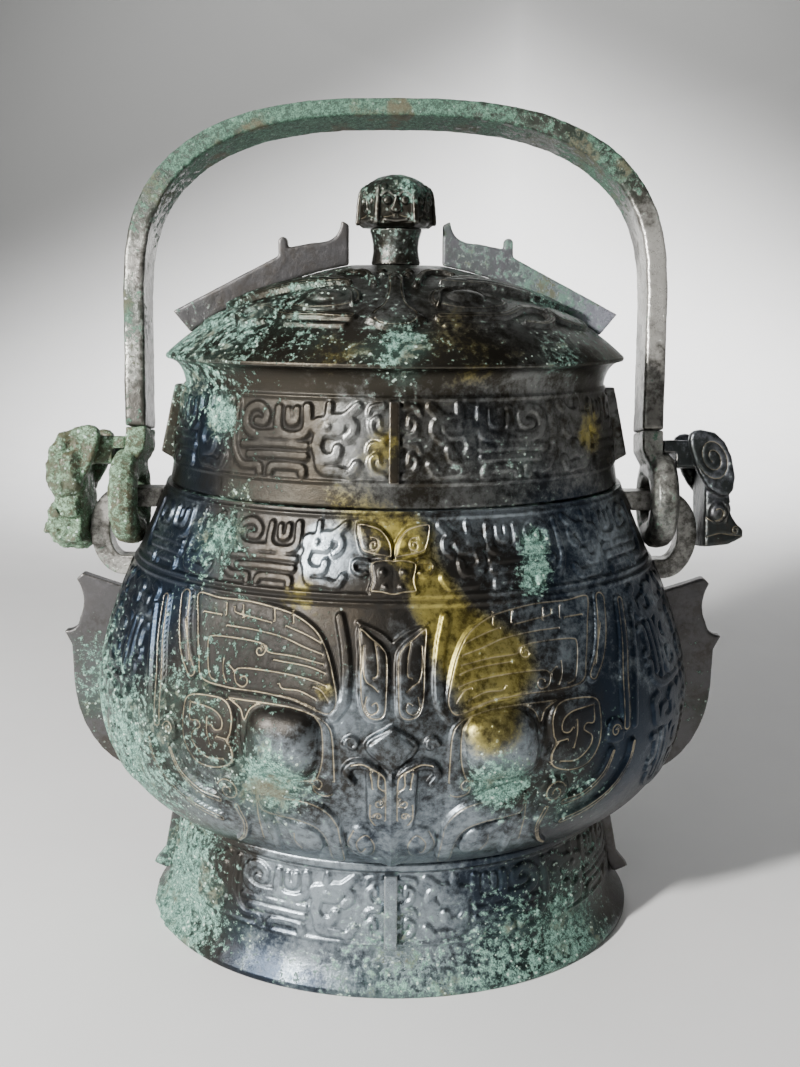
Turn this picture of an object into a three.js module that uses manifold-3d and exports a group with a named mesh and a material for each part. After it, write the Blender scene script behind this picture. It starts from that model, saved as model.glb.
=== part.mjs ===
// Bronze lidded wine vessel: an oval covered jar on a ring foot, with a swing bail.
// Millimetres, +Z up. The origin is the middle of the plane that the foot stands on, the front
// faces -Y, and the lugs, the bail's ends and the side flanges stand on the long axis, X.

import * as THREE from 'three';
import { mergeVertices } from 'three/addons/utils/BufferGeometryUtils.js';
import Module from 'manifold-3d';

const wasm = await Module();
wasm.setup();

// Plan: turned shapes are drawn by their half width on X and squeezed on Y
const depthRatio = 0.8;
const roundSides = 48;

// Clearances
const seatGap = 0.3;
const lidClearance = 0.6;
const eyeClearance = 0.7;
const neckClearance = 1;
const headClearance = 0.8;

// How far the outline of a joined piece runs into the wall that is then cut from it
const bite = 4;

// Ring foot
const footBaseHalfWidth = 102.3;
const footBaseLip = 3;
const footBaseEdge = 1;
const footFlareHeight = 15;
const footFlareReach = 8.3;
const footFriezeHeight = 28;
const footFriezeTaper = 5.5;
const footBandHeight = 4;
const footBandReach = 2;
const footWall = 4.2;

// Vessel bowl: belly, neck, ledge for the lid and lip inside the lid
const bowlFootReach = 1.7;
const bellyHalfWidth = 121;
const bellyRise = 47;
const bellyRoundness = 18;
const neckRise = 86;
const neckHalfWidth = 91.6;
const neckSpread = 11;
const bowlWall = 4;
const lipHeight = 19;
const lipWall = 4;
const neckThickening = 14;

// Lid
const lidRimInset = 1.6;
const skirtHeight = 39;
const skirtTaper = 7;
const lidWall = 4;
const cavettoHeight = 9.3;
const cavettoHollow = 6.2;
const eaveReach = 7.2;
const eaveThickness = 1.4;
const roofHeight = 34;
const roofPlateauHalfWidth = 18;
const roofWall = 4;

// Knob
const stemHeight = 13.5;
const stemBaseRadius = 9.8;
const stemWaistRadius = 8.9;
const stemTaper = 0.3;
const stemTopRadius = 10.4;
const stemSides = 20;
const budHeight = 20.2;
const budRadius = 15;
const budRimHeight = 1.5;
const budRimInset = 2;
const budShoulderRise = 10.6;
const budShoulderRadius = 14.2;
const budSides = 6;

// Side flanges of the belly
const finThickness = 5;
const bodyFlangeReach = 14;
const bodyFlangeTopDrop = 48;
const bodyFlangeTopRise = 7;
const bodyFlangeTopReach = 8;
const bodyFlangeNose = 2.5;
const bodyFlangeHollow = 2;
const bodyFlangeHookReach = 3;
const bodyFlangeHookHeight = 6;
const bodyFlangeHookDrop = 18;

// Flanges and ridges of the foot
const footFlangeReach = 5;
const footFlangeHook = 2;
const footFlangeHookHeight = 5;
const footFlangeTail = 9;
const footRidgeReach = 3;
const footRidgeThickness = 5;

// Flanges and ridges of the lid
const roofFlangePeakRise = 17;
const roofFlangePeakWidth = 3;
const roofFlangePeakSlope = 1.5;
const roofFlangeDip = 6.5;
const roofFlangeDipSlope = 2;
const roofFlangeDipLength = 12;
const roofFlangeStep = 3;
const roofPostX = 44;
const roofPostWidth = 3.6;
const roofPostRise = 4.2;
const roofFlangeTipInset = 2.6;
const roofFlangeTipRise = 16;
const roofFlangeTipHook = 6;
const roofFlangeUnderRise = 8.5;
const skirtFlangeToe = 1;
const skirtFlangeTopReach = 4.6;
const skirtFlangeLowReach = 6;
const skirtFlangeMargin = 2;
const skirtBandHeight = 9;
const skirtRidgeReach = 2.6;
const skirtRidgeThickness = 3.8;

// Lugs that carry the bail
const pivotDrop = 8.5;
const lugBar = 8;
const lugDepth = 8;
const lugSideClearance = 2.7;
const lugBottomClearance = 4.5;
const lugHoleEndRadius = 5;

// Bail: strap, eyes round the lugs and beast heads; it has come to rest leaning to the back
const bailLeanDegrees = 11;
const eyeRadius = 20;
const eyeThickness = 11.2;
const eyeSquareness = 2.6;
const eyeSectionSides = 12;
const eyeSides = 24;
const strapThickness = 8.4;
const strapCrownThickness = 7;
const strapDepth = 20;
const strapInset = 4;
const strapRootRise = 28;
const strapSpringRise = 82;
const strapCrownRise = 77.7;
const strapSplay = 1;
const strapRoundness = 2.67;
const strapSteps = 14;
const strapEdge = 1.2;
const shankSink = 1;
const headWidth = 20;
const headRise = 27;
const headDrop = 19;
const headReach = 9.5;
const headCrown = 3;
const headEdge = 1.4;
const headCurveSegments = 4;
const jawSlope = 1;
const snoutReach = 6;
const snoutRise = 4;
const snoutHeight = 3;
const muzzleHeight = 12;
const hornThickness = 5;
const hornSink = 1;
const hornLow = 4;
const hornHeight = 24;
const hornFront = 11;
const hornBack = 9;
const headBlockLow = 13;
const headBlockDepth = 15;
const headBlockBite = 4;
const headBlockEdge = 1;
const bossWidth = 7.2;
const bossHeight = 8.8;
const bossReach = 2.4;
const bossDrop = 5;

// Levels above the foot's plane
const footFriezeLowZ = footBaseLip + footFlareHeight;
const footFriezeTopZ = footFriezeLowZ + footFriezeHeight;
const footTopZ = footFriezeTopZ + footBandHeight;
const bowlZ = footTopZ + seatGap;
const bellyZ = bowlZ + bellyRise;
const ledgeZ = bellyZ + neckRise;
const rimZ = ledgeZ + seatGap;
const skirtTopZ = rimZ + skirtHeight;
const eaveZ = skirtTopZ + cavettoHeight;
const roofEdgeZ = eaveZ + eaveThickness;
const roofTopZ = roofEdgeZ + roofHeight;
const stemZ = roofTopZ + seatGap;
const budZ = stemZ + stemHeight + seatGap;
const pivotZ = ledgeZ - pivotDrop;

// Half widths on X
const footFriezeLowHalfWidth = footBaseHalfWidth - footFlareReach;
const footFriezeTopHalfWidth = footFriezeLowHalfWidth - footFriezeTaper;
const footBandHalfWidth = footFriezeTopHalfWidth + footBandReach;
const bowlFootHalfWidth = footFriezeTopHalfWidth + bowlFootReach;
const lidRimHalfWidth = neckHalfWidth - lidRimInset;
const skirtTopHalfWidth = lidRimHalfWidth - skirtTaper;
const eaveHalfWidth = skirtTopHalfWidth + eaveReach;

const { degToRad, lerp } = THREE.MathUtils;
const point = (x, y) => new THREE.Vector2(x, y);

// Cast relief: each form is drawn flat, with s round the wall from the front and t up its profile.
// A boss swells to its rise, a slab fills the space between two edges, a strip follows its line.
const reliefSink = 1.5;
const slabRise = 1.7;
const slabSteps = 5;
const stripRise = 1.4;
const stripSteps = 4;
const bossSides = 8;
const bossLevels = [[0.1, 1], [0.68, 0.85], [0.95, 0.5]];

// Beast mask on the belly, right half of the front: s in millimetres at the belly's widest.
// The drawing reaches from the front to the side and from the foot to the ledge.
const bellyDrawing = { side: 171.6, top: 151.6 };
const bellyBosses = {
  eye: { at: point(37.8, 69.3), halfWidth: 13.8, halfHeight: 12.2, rise: 6, squareness: 3.2 },
  foreheadDiamond: { at: point(0, 69), halfWidth: 8.9, halfHeight: 7.6, rise: 2.2, squareness: 1.1 },
  nostril: { at: point(10.7, 29.8), halfWidth: 6.3, halfHeight: 9.4, rise: 2.6, squareness: 2 },
  cheek: { at: point(59, 48.4), halfWidth: 6.2, halfHeight: 5.8, rise: 2, squareness: 2 },
  fang: { at: point(32.6, 31), halfWidth: 5.6, halfHeight: 7.4, rise: 1.8, squareness: 2 },
};
const bellySlabs = {
  horn: {
    low: [[19.4, 81], [27.6, 80.6], [36, 83.4], [48, 84.6], [61, 84.6], [72.6, 86.4]],
    high: [[19.4, 86], [23, 101], [30, 110], [42, 115.4], [60, 117.4], [84, 117]],
  },
  ear: {
    low: [[72, 56.4], [77.6, 63], [78.8, 73], [76.6, 80.8]],
    high: [[57, 57.6], [56, 64], [56.6, 74], [60, 81.2]],
  },
  foreheadShield: {
    low: [[9.4, 79.6], [11.6, 88], [12.2, 100], [13, 110.6]],
    high: [[5.4, 78.2], [1.4, 86], [1.4, 100], [6, 106.4]],
  },
};
const bellyStrips = {
  jaw: { width: 6, line: [[48, 46], [38, 45.6], [29.5, 43.4], [24, 38], [21, 29], [20.6, 16]] },
  nose: { width: 6, line: [[5, 38], [5.4, 50], [5.4, 62.6]] },
  muzzle: { width: 7, line: [[14.4, 41], [14.4, 53.4]] },
  hornArm: { width: 5.6, line: [[90, 114.6], [86.6, 104], [82.4, 95], [77.4, 88.4]] },
  uprightBar: { width: 4.6, line: [[101.4, 112], [97.4, 98], [93, 84], [91, 67]] },
  tail: { width: 3.4, line: [[66, 34], [76, 37], [86, 43], [95, 60]] },
};

// Beast mask on the roof, right half of the front: s in degrees of the oval.
// The drawing reaches from the front to the side and from the eave to the knob.
const roofDrawing = { side: 90, top: 80.8 };
const roofBosses = {
  eye: { at: point(26, 39.4), halfWidth: 8.4, halfHeight: 4.8, rise: 3, squareness: 2 },
  quill: { at: point(65.6, 24), halfWidth: 9.2, halfHeight: 6.6, rise: 1.5, squareness: 2 },
};
const roofSlabs = {
  horn: {
    low: [[28, 50], [40, 48], [51, 43.6], [64, 37], [76.6, 29.4]],
    high: [[21, 52.6], [42, 57.6], [58, 52], [71, 43.6], [81, 34]],
  },
  nose: {
    low: [[5.4, 19.6], [4.2, 33], [3, 45], [3.4, 57.6]],
    high: [[-1, 18], [-1, 33], [-1, 45], [-1, 61]],
  },
};
const roofStrips = {
  crest: { width: 3.2, line: [[9.4, 51], [13, 59], [20, 65.4], [31, 66.4]] },
  cheek: { width: 3.6, line: [[13, 25.4], [23, 26], [34, 26.4], [44, 31], [52, 30.4]] },
};

// Solids

// One coordinate of a rounded square: a cosine or sine with its ends filled out
const squared = (wave, squareness) => Math.sign(wave) * Math.abs(wave) ** (2 / squareness);

function toSolid(geometry) {
  const bare = geometry.clone();
  bare.deleteAttribute('normal');
  bare.deleteAttribute('uv');
  const welded = mergeVertices(bare, 1e-4);
  const corners = welded.index.array;
  const triangles = [];
  for (let i = 0; i < corners.length; i += 3) {
    const [a, b, c] = [corners[i], corners[i + 1], corners[i + 2]];
    if (a !== b && b !== c && c !== a) triangles.push(a, b, c);
  }
  return new wasm.Manifold(new wasm.Mesh({
    numProp: 3,
    vertProperties: new Float32Array(welded.attributes.position.array),
    triVerts: new Uint32Array(triangles),
  }));
}

function toGeometry(solid) {
  const mesh = solid.getMesh();
  const geometry = new THREE.BufferGeometry();
  geometry.setAttribute('position', new THREE.BufferAttribute(new Float32Array(mesh.vertProperties), 3));
  geometry.setIndex(new THREE.BufferAttribute(new Uint32Array(mesh.triVerts), 1));
  return geometry;
}

// The mirror image across the plane x = 0 or y = 0, with its faces still pointing out
function mirrored(geometry, axis) {
  const image = geometry.clone();
  image.scale(axis === 'x' ? -1 : 1, axis === 'y' ? -1 : 1, 1);
  image.index.array.reverse();
  return image;
}

// A profile of (half width, height) turned round the vessel's axis and squeezed to the oval plan
function turned(profile, ratio = depthRatio, sides = roundSides) {
  const geometry = new THREE.LatheGeometry(profile, sides);
  geometry.rotateX(Math.PI / 2);
  return geometry.scale(1, ratio, 1);
}

// An outline in the X-Z plane with a thickness on Y, centred on the plane
function plate(outline, thickness, edge = 0, curveSegments = 10) {
  const geometry = new THREE.ExtrudeGeometry(outline, {
    depth: thickness - 2 * edge,
    bevelEnabled: edge > 0,
    bevelThickness: edge,
    bevelSize: edge,
    bevelOffset: -edge,
    bevelSegments: 2,
    curveSegments,
  });
  geometry.rotateX(Math.PI / 2);
  return geometry.translate(0, thickness / 2 - edge, 0);
}

// A rising profile moved to its left, into the wall, or outward when the distance is negative
function inset(profile, distance) {
  return profile.map((at, i) => {
    const before = profile[Math.max(i - 1, 0)];
    const after = profile[Math.min(i + 1, profile.length - 1)];
    const along = after.clone().sub(before).normalize();
    return point(at.x - along.y * distance, at.y + along.x * distance);
  });
}

// The space inside a profile and its seat gap, taken away from what is joined on outside
function envelope(profile) {
  const skin = inset(profile, -seatGap);
  return toSolid(turned([point(0, skin[0].y), ...skin, point(0, skin[skin.length - 1].y)]));
}

function halfWidthAt(profile, z) {
  const i = profile.findIndex((at, k) => k > 0 && at.y >= z);
  const last = i < 0 ? profile.length - 1 : i;
  const low = profile[last - 1];
  const high = profile[last];
  return lerp(low.x, high.x, (z - low.y) / (high.y - low.y));
}

// Profiles of (half width, height), from the bottom up

const footProfile = [
  point(footBaseHalfWidth, 0),
  point(footBaseHalfWidth, footBaseLip),
  ...new THREE.QuadraticBezierCurve(
    point(footBaseHalfWidth - footBaseEdge, footBaseLip + footBaseEdge / 2),
    point(footFriezeLowHalfWidth + footBaseEdge, footBaseLip + footFlareHeight / 2),
    point(footFriezeLowHalfWidth, footFriezeLowZ),
  ).getPoints(4),
  point(footFriezeTopHalfWidth, footFriezeTopZ),
];

const bellyCurve = new THREE.CubicBezierCurve(
  point(bowlFootHalfWidth, bowlZ),
  point(bowlFootHalfWidth + bellyRoundness, bowlZ + 0.13 * bellyRise),
  point(bellyHalfWidth, bellyZ - 0.5 * bellyRise),
  point(bellyHalfWidth, bellyZ),
);

const neckCurve = new THREE.CubicBezierCurve(
  point(bellyHalfWidth, bellyZ),
  point(bellyHalfWidth, bellyZ + 0.33 * neckRise),
  point(neckHalfWidth + neckSpread, ledgeZ - 0.33 * neckRise),
  point(neckHalfWidth, ledgeZ),
);

const bowlProfile = [...bellyCurve.getPoints(8), ...neckCurve.getPoints(10).slice(1)];

const skirtProfile = [point(lidRimHalfWidth, rimZ), point(skirtTopHalfWidth, skirtTopZ)];

const roofCurve = new THREE.CubicBezierCurve(
  point(eaveHalfWidth, roofEdgeZ),
  point(lerp(eaveHalfWidth, roofPlateauHalfWidth, 0.2), roofEdgeZ + 0.4 * roofHeight),
  point(lerp(eaveHalfWidth, roofPlateauHalfWidth, 0.58), roofEdgeZ + 0.84 * roofHeight),
  point(roofPlateauHalfWidth, roofTopZ),
);
const roofProfile = roofCurve.getPoints(9);

const footEnvelope = envelope(footProfile);
const bowlEnvelope = envelope(bowlProfile);
const skirtEnvelope = envelope(skirtProfile);
const roofEnvelope = envelope(roofProfile);

// Relief

const unitOval = new THREE.EllipseCurve(0, 0, 1, depthRatio, -Math.PI / 2, 0);

// The oval's plan at a share of the way from the front to the side, to the left when it is negative
const onSide = (share, at) => point(Math.sign(share) * at.x, at.y);
const planByLength = (share) => onSide(share, unitOval.getPointAt(Math.abs(share)));
const planByAngle = (share) => onSide(share, unitOval.getPoint(Math.abs(share)));

// Gives the point at (s, t) of a drawing on the wall, so far out along the wall's normal
function wrapOn(profile, plan, drawing) {
  return (s, t, out) => {
    const { x, y } = plan(s / drawing.side);
    const at = profile.getPointAt(t / drawing.top);
    const along = profile.getTangentAt(t / drawing.top);
    const normal = new THREE.Vector3(x * along.y, (y * along.y) / depthRatio ** 2, -along.x).normalize();
    return new THREE.Vector3(at.x * x, at.x * y, at.y).addScaledVector(normal, out);
  };
}

// Rings of points from the bottom up, each joined to the next, with the first and the last filled in
function stacked(rings) {
  const sides = rings[0].length;
  const triangles = [];
  for (let low = 0; low < (rings.length - 1) * sides; low += sides) {
    for (let i = 0; i < sides; i += 1) {
      const next = (i + 1) % sides;
      const high = low + sides;
      triangles.push(low + i, low + next, high + next, low + i, high + next, high + i);
    }
  }
  const top = (rings.length - 1) * sides;
  for (let i = 0; i < sides / 2 - 1; i += 1) {
    const [a, b, c, d] = [i, i + 1, sides - 2 - i, sides - 1 - i];
    triangles.push(a, c, b, a, d, c);
    triangles.push(top + a, top + b, top + c, top + a, top + c, top + d);
  }
  const geometry = new THREE.BufferGeometry().setFromPoints(rings.flat());
  geometry.setIndex(triangles);
  return toSolid(geometry);
}

// A swelling on a rounded plan
function boss(wrap, { at, halfWidth, halfHeight, rise, squareness }) {
  const ring = (share, out) => Array.from({ length: bossSides }, (_, i) => {
    const angle = (i / bossSides) * 2 * Math.PI;
    const across = share * halfWidth * squared(Math.cos(angle), squareness);
    const up = share * halfHeight * squared(Math.sin(angle), squareness);
    return wrap(at.x + across, at.y + up, out);
  });
  return stacked([ring(1, -reliefSink), ...bossLevels.map(([height, share]) => ring(share, height * rise))]);
}

// A flat form between two rows of points, the second row on the left of the first
function flatForm(wrap, right, left, rise) {
  const outline = [...right, ...left.toReversed()];
  return stacked([-reliefSink, rise].map((out) => outline.map((at) => wrap(at.x, at.y, out))));
}

const spline = (points) => new THREE.SplineCurve(points.map(([s, t]) => point(s, t)));

function slab(wrap, { low, high }) {
  return flatForm(wrap, spline(low).getPoints(slabSteps), spline(high).getPoints(slabSteps), slabRise);
}

function strip(wrap, { line, width }) {
  const middle = spline(line);
  const edge = (reach) => Array.from({ length: stripSteps + 1 }, (_, i) => {
    const along = middle.getTangent(i / stripSteps);
    return middle.getPoint(i / stripSteps).add(point(-along.y * reach, along.x * reach));
  });
  return flatForm(wrap, edge(-width / 2), edge(width / 2), stripRise);
}

// The forms of half a front, mirrored to both halves of the front and the back
function relief(wrap, bosses, slabs, strips) {
  const quarter = wasm.Manifold.union([
    ...Object.values(bosses).map((form) => boss(wrap, form)),
    ...Object.values(slabs).map((form) => slab(wrap, form)),
    ...Object.values(strips).map((form) => strip(wrap, form)),
  ]);
  const front = quarter.add(quarter.mirror([1, 0, 0]));
  return front.add(front.mirror([0, 1, 0]));
}

// Vessel

function ringFoot() {
  const band = [point(footBandHalfWidth, footFriezeTopZ), point(footBandHalfWidth, footTopZ)];
  const hollow = [
    point(footFriezeTopHalfWidth - footWall, footTopZ),
    point(footFriezeTopHalfWidth - footWall, footFriezeTopZ),
    point(footFriezeLowHalfWidth - footWall, footFriezeLowZ),
    point(footBaseHalfWidth - footWall, 0),
  ];
  return toSolid(turned([...footProfile, ...band, ...hollow, footProfile[0]]));
}

function vesselBowl() {
  const skirtInside = skirtProfile.map((at) => point(at.x - lidWall - lidClearance, at.y));
  const lipLow = halfWidthAt(skirtInside, ledgeZ);
  const lipTop = halfWidthAt(skirtInside, ledgeZ + lipHeight);
  const hollow = inset(bowlProfile, bowlWall).filter((at) => at.y < ledgeZ - neckThickening);
  const jar = toSolid(turned([
    point(0, bowlZ),
    ...bowlProfile,
    point(lipLow, ledgeZ),
    point(lipTop, ledgeZ + lipHeight),
    point(lipTop - lipWall, ledgeZ + lipHeight),
    point(lipLow - lipWall, ledgeZ),
    ...hollow.reverse(),
    point(0, bowlZ + bowlWall),
  ]));
  const wall = new THREE.CurvePath();
  wall.add(bellyCurve);
  wall.add(neckCurve);
  const wrap = wrapOn(wall, planByLength, bellyDrawing);
  return jar.add(relief(wrap, bellyBosses, bellySlabs, bellyStrips));
}

function bodyFlange() {
  const topZ = ledgeZ - bodyFlangeTopDrop;
  const cornerZ = topZ + bodyFlangeTopRise;
  const hookZ = topZ - bodyFlangeHookDrop;
  const edgeX = bellyHalfWidth + bodyFlangeReach;
  const topX = bellyHalfWidth + bodyFlangeTopReach;
  const outline = new THREE.Shape();
  outline.moveTo(halfWidthAt(bowlProfile, topZ) - bite, topZ);
  outline.lineTo(topX, cornerZ);
  outline.lineTo(topX + bodyFlangeNose, cornerZ - bodyFlangeNose);
  outline.quadraticCurveTo(
    topX - bodyFlangeHollow, topZ - 2 * bodyFlangeHollow,
    topX + bodyFlangeHollow, hookZ + bodyFlangeHookHeight,
  );
  outline.quadraticCurveTo(edgeX - bodyFlangeHookReach, hookZ, edgeX + bodyFlangeHookReach, hookZ);
  outline.lineTo(edgeX, hookZ - bodyFlangeHookHeight);
  outline.lineTo(edgeX, bellyZ);
  outline.bezierCurveTo(
    edgeX, bellyZ - 0.55 * bellyRise,
    bellyHalfWidth, bowlZ + 0.05 * bellyRise,
    bowlFootHalfWidth + bite, bowlZ + 0.02 * bellyRise,
  );
  outline.lineTo(bowlFootHalfWidth - bite, bowlZ + bite);
  return toSolid(plate(outline, finThickness)).subtract(bowlEnvelope);
}

function footFlange() {
  const topZ = footFriezeTopZ - seatGap;
  const tailX = halfWidthAt(footProfile, footFlangeTail);
  const outline = new THREE.Shape();
  outline.moveTo(footFriezeTopHalfWidth - bite, topZ);
  outline.lineTo(footFriezeTopHalfWidth - bite, footFlangeTail);
  outline.lineTo(tailX + footFlangeHook, footFlangeTail);
  outline.lineTo(tailX + footFlangeReach + footFlangeHook, footFlangeTail + footFlangeHookHeight / 2);
  outline.lineTo(tailX + footFlangeReach, footFlangeTail + footFlangeHookHeight);
  outline.lineTo(footFriezeLowHalfWidth + footFlangeReach, footFriezeLowZ);
  outline.lineTo(footFriezeTopHalfWidth + footFlangeReach, topZ);
  return toSolid(plate(outline, finThickness)).subtract(footEnvelope);
}

// A low ridge on the front, drawn on X and turned to the front
function frontRidge(profile, lowZ, topZ, reach, thickness, around) {
  const low = depthRatio * halfWidthAt(profile, lowZ);
  const top = depthRatio * halfWidthAt(profile, topZ);
  const outline = new THREE.Shape();
  outline.moveTo(low - bite, lowZ);
  outline.lineTo(low + reach, lowZ);
  outline.lineTo(top + reach, topZ);
  outline.lineTo(top - bite, topZ);
  const ridge = plate(outline, thickness).rotateZ(-Math.PI / 2);
  return toSolid(ridge).subtract(around);
}

// Lid

function lidShell() {
  const skirtInside = skirtProfile.map((at) => point(at.x - lidWall, at.y));
  const cavetto = new THREE.QuadraticBezierCurve(
    point(skirtTopHalfWidth, skirtTopZ),
    point(eaveHalfWidth - cavettoHollow, eaveZ - (eaveReach - cavettoHollow)),
    point(eaveHalfWidth, eaveZ),
  ).getPoints(4);
  const dome = inset(roofProfile, roofWall);
  const ceiling = dome.filter((at) => at.x < skirtTopHalfWidth - lidWall);
  const shell = toSolid(turned([
    skirtProfile[0],
    ...cavetto,
    ...roofProfile,
    point(0, roofTopZ),
    point(0, roofTopZ - roofWall),
    ...ceiling.reverse(),
    ...skirtInside.reverse(),
    skirtProfile[0],
  ]));
  const wrap = wrapOn(roofCurve, planByAngle, roofDrawing);
  return shell.add(relief(wrap, roofBosses, roofSlabs, roofStrips));
}

function lidRoofFlange() {
  const innerX = roofPlateauHalfWidth + seatGap;
  const peakZ = roofTopZ + roofFlangePeakRise;
  const dipZ = roofTopZ + roofFlangeDip;
  const postRadius = roofPostWidth / 2;
  const postRoundZ = dipZ + roofPostRise - postRadius;
  const tipX = eaveHalfWidth - roofFlangeTipInset;
  const underX = tipX - roofFlangeTipHook;
  const outline = new THREE.Shape();
  outline.moveTo(innerX, roofTopZ - bite);
  outline.lineTo(innerX, peakZ - roofFlangePeakSlope);
  outline.lineTo(innerX + roofFlangePeakWidth, peakZ);
  outline.quadraticCurveTo(
    innerX + roofFlangePeakWidth, dipZ + roofFlangeDipSlope,
    roofPostX - roofFlangeDipLength, dipZ + roofFlangeDipSlope,
  );
  outline.lineTo(roofPostX - postRadius, dipZ);
  outline.absarc(roofPostX, postRoundZ, postRadius, Math.PI, 0, true);
  outline.lineTo(roofPostX + postRadius, dipZ - roofFlangeStep);
  outline.lineTo(tipX, roofEdgeZ + roofFlangeTipRise);
  outline.lineTo(underX, roofEdgeZ + roofFlangeUnderRise);
  outline.lineTo(underX - bite, roofEdgeZ + bite);
  return toSolid(plate(outline, finThickness)).subtract(roofEnvelope);
}

function lidSkirtFlange() {
  const lowZ = rimZ + skirtBandHeight;
  const topZ = skirtTopZ - skirtFlangeMargin;
  const lowX = halfWidthAt(skirtProfile, lowZ);
  const topX = halfWidthAt(skirtProfile, topZ);
  const outline = new THREE.Shape();
  outline.moveTo(topX - bite, topZ);
  outline.lineTo(lowX - bite, lowZ - skirtFlangeMargin);
  outline.lineTo(lowX + skirtFlangeToe, lowZ - skirtFlangeMargin);
  outline.lineTo(lowX + skirtFlangeLowReach, lowZ + skirtFlangeToe);
  outline.lineTo(topX + skirtFlangeTopReach, topZ);
  return toSolid(plate(outline, finThickness)).subtract(skirtEnvelope);
}

function knobStem() {
  const waist = new THREE.SplineCurve([
    point(stemBaseRadius, stemZ),
    point(stemWaistRadius, stemZ + 0.35 * stemHeight),
    point(stemWaistRadius + stemTaper, stemZ + 0.7 * stemHeight),
    point(stemTopRadius, stemZ + stemHeight),
  ]).getPoints(8);
  return toSolid(turned([point(0, stemZ), ...waist, point(0, stemZ + stemHeight)], 1, stemSides));
}

// Six facets round a domed top, with a facet to the front and the back
function knobBud() {
  const shoulderZ = budZ + budShoulderRise;
  const domeHeight = budHeight - budShoulderRise;
  const quarter = new THREE.EllipseCurve(0, shoulderZ, budShoulderRadius, domeHeight, 0, Math.PI / 2);
  const dome = quarter.getPoints(6);
  const rim = [point(budRadius - budRimInset, budZ), point(budRadius, budZ + budRimHeight)];
  const profile = [point(0, budZ), ...rim, ...dome.slice(0, -1), point(0, budZ + budHeight)];
  return toSolid(turned(profile, 1, budSides).rotateZ(Math.PI / 2));
}

// Bail, drawn upright about the middle of the right lug's bar: x is the vessel's own x

const eyeMidRadius = eyeRadius - eyeThickness / 2;
const eyeInnerX = halfWidthAt(bowlProfile, pivotZ - eyeMidRadius) + neckClearance;
const eyeX = eyeInnerX + eyeThickness / 2;
const eyeOuterX = eyeInnerX + eyeThickness;
const lugHoleX = eyeOuterX + lugSideClearance;
const lugOuterX = lugHoleX + lugBar;
const lugEndX = lugHoleX - lugHoleEndRadius;
const lugHoleTop = -lugBar / 2;
const lugHoleLow = -eyeRadius - lugBottomClearance;
const lugMiddle = (lugHoleTop + lugHoleLow) / 2;
const lugHoleHalf = (lugHoleTop - lugHoleLow) / 2;
const strapX = eyeX - strapInset;
const headX = lugOuterX + headClearance;

// D-shaped ring: a straight upper bar for the eye, a round end and a lower arm
function lugRing() {
  const rootX = neckHalfWidth - bite;
  const holeX = rootX + bite / 4;
  const middleZ = pivotZ + lugMiddle;
  const outline = new THREE.Shape();
  outline.moveTo(rootX, middleZ - lugHoleHalf - lugBar);
  outline.lineTo(lugEndX, middleZ - lugHoleHalf - lugBar);
  outline.absellipse(lugEndX, middleZ, lugOuterX - lugEndX, lugHoleHalf + lugBar, -Math.PI / 2, Math.PI / 2);
  outline.lineTo(rootX, middleZ + lugHoleHalf + lugBar);
  const hole = new THREE.Path();
  hole.moveTo(holeX, middleZ - lugHoleHalf);
  hole.lineTo(lugEndX, middleZ - lugHoleHalf);
  hole.absellipse(lugEndX, middleZ, lugHoleEndRadius, lugHoleHalf, -Math.PI / 2, Math.PI / 2);
  hole.lineTo(holeX, middleZ + lugHoleHalf);
  outline.holes.push(hole);
  return toSolid(plate(outline, lugDepth)).subtract(bowlEnvelope);
}

// The eye's hole clears the lug's bar where the bar starts to bend down
function eyeHoleRadius() {
  const bend = (eyeOuterX - lugEndX) / lugHoleEndRadius;
  const barLow = lugMiddle + lugHoleHalf * Math.sqrt(1 - bend * bend);
  return Math.hypot(barLow, lugDepth / 2) + eyeClearance;
}

function bailEye() {
  const hole = eyeHoleRadius();
  const middle = (eyeRadius + hole) / 2;
  const section = [];
  for (let i = 0; i < eyeSectionSides; i += 1) {
    const angle = (i / eyeSectionSides) * 2 * Math.PI;
    section.push(point(
      middle + ((eyeRadius - hole) / 2) * squared(Math.cos(angle), eyeSquareness),
      (eyeThickness / 2) * squared(Math.sin(angle), eyeSquareness),
    ));
  }
  const ring = new THREE.LatheGeometry([...section, section[0]], eyeSides);
  ring.rotateZ(-Math.PI / 2);
  ring.translate(eyeX, 0, 0);
  const innerX = strapX - strapThickness / 2;
  const outerX = strapX + strapThickness / 2;
  const shank = new THREE.Shape();
  shank.moveTo(innerX, strapRootRise - seatGap);
  shank.lineTo(innerX, eyeRadius);
  shank.lineTo(eyeX - 0.4 * eyeThickness, middle - shankSink);
  shank.lineTo(eyeX + 0.4 * eyeThickness, middle - shankSink);
  shank.lineTo(outerX, eyeRadius - 2 * shankSink);
  shank.lineTo(outerX, strapRootRise - seatGap);
  return toSolid(ring).add(toSolid(plate(shank, strapDepth, strapEdge)));
}

// Half of the strap's edge, from the root up to the crown
function strapEdgeLine(halfWidth, crown) {
  const line = [point(halfWidth - strapSplay, strapRootRise)];
  for (let i = 0; i <= strapSteps; i += 1) {
    const angle = (i / strapSteps) * Math.PI / 2;
    line.push(point(
      halfWidth * squared(Math.cos(angle), strapRoundness),
      strapSpringRise + crown * squared(Math.sin(angle), strapRoundness),
    ));
  }
  return line;
}

function bailArch() {
  const outerX = strapX + strapThickness / 2 + strapSplay;
  const outer = strapEdgeLine(outerX, strapCrownRise);
  const inner = strapEdgeLine(outerX - strapThickness, strapCrownRise - strapCrownThickness);
  const otherHalf = (line) => line.slice(0, -1).map((at) => point(-at.x, at.y));
  const outline = [...outer, ...otherHalf(outer).reverse(), ...otherHalf(inner), ...inner.reverse()];
  return toSolid(plate(new THREE.Shape(outline), strapDepth, strapEdge));
}

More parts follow.
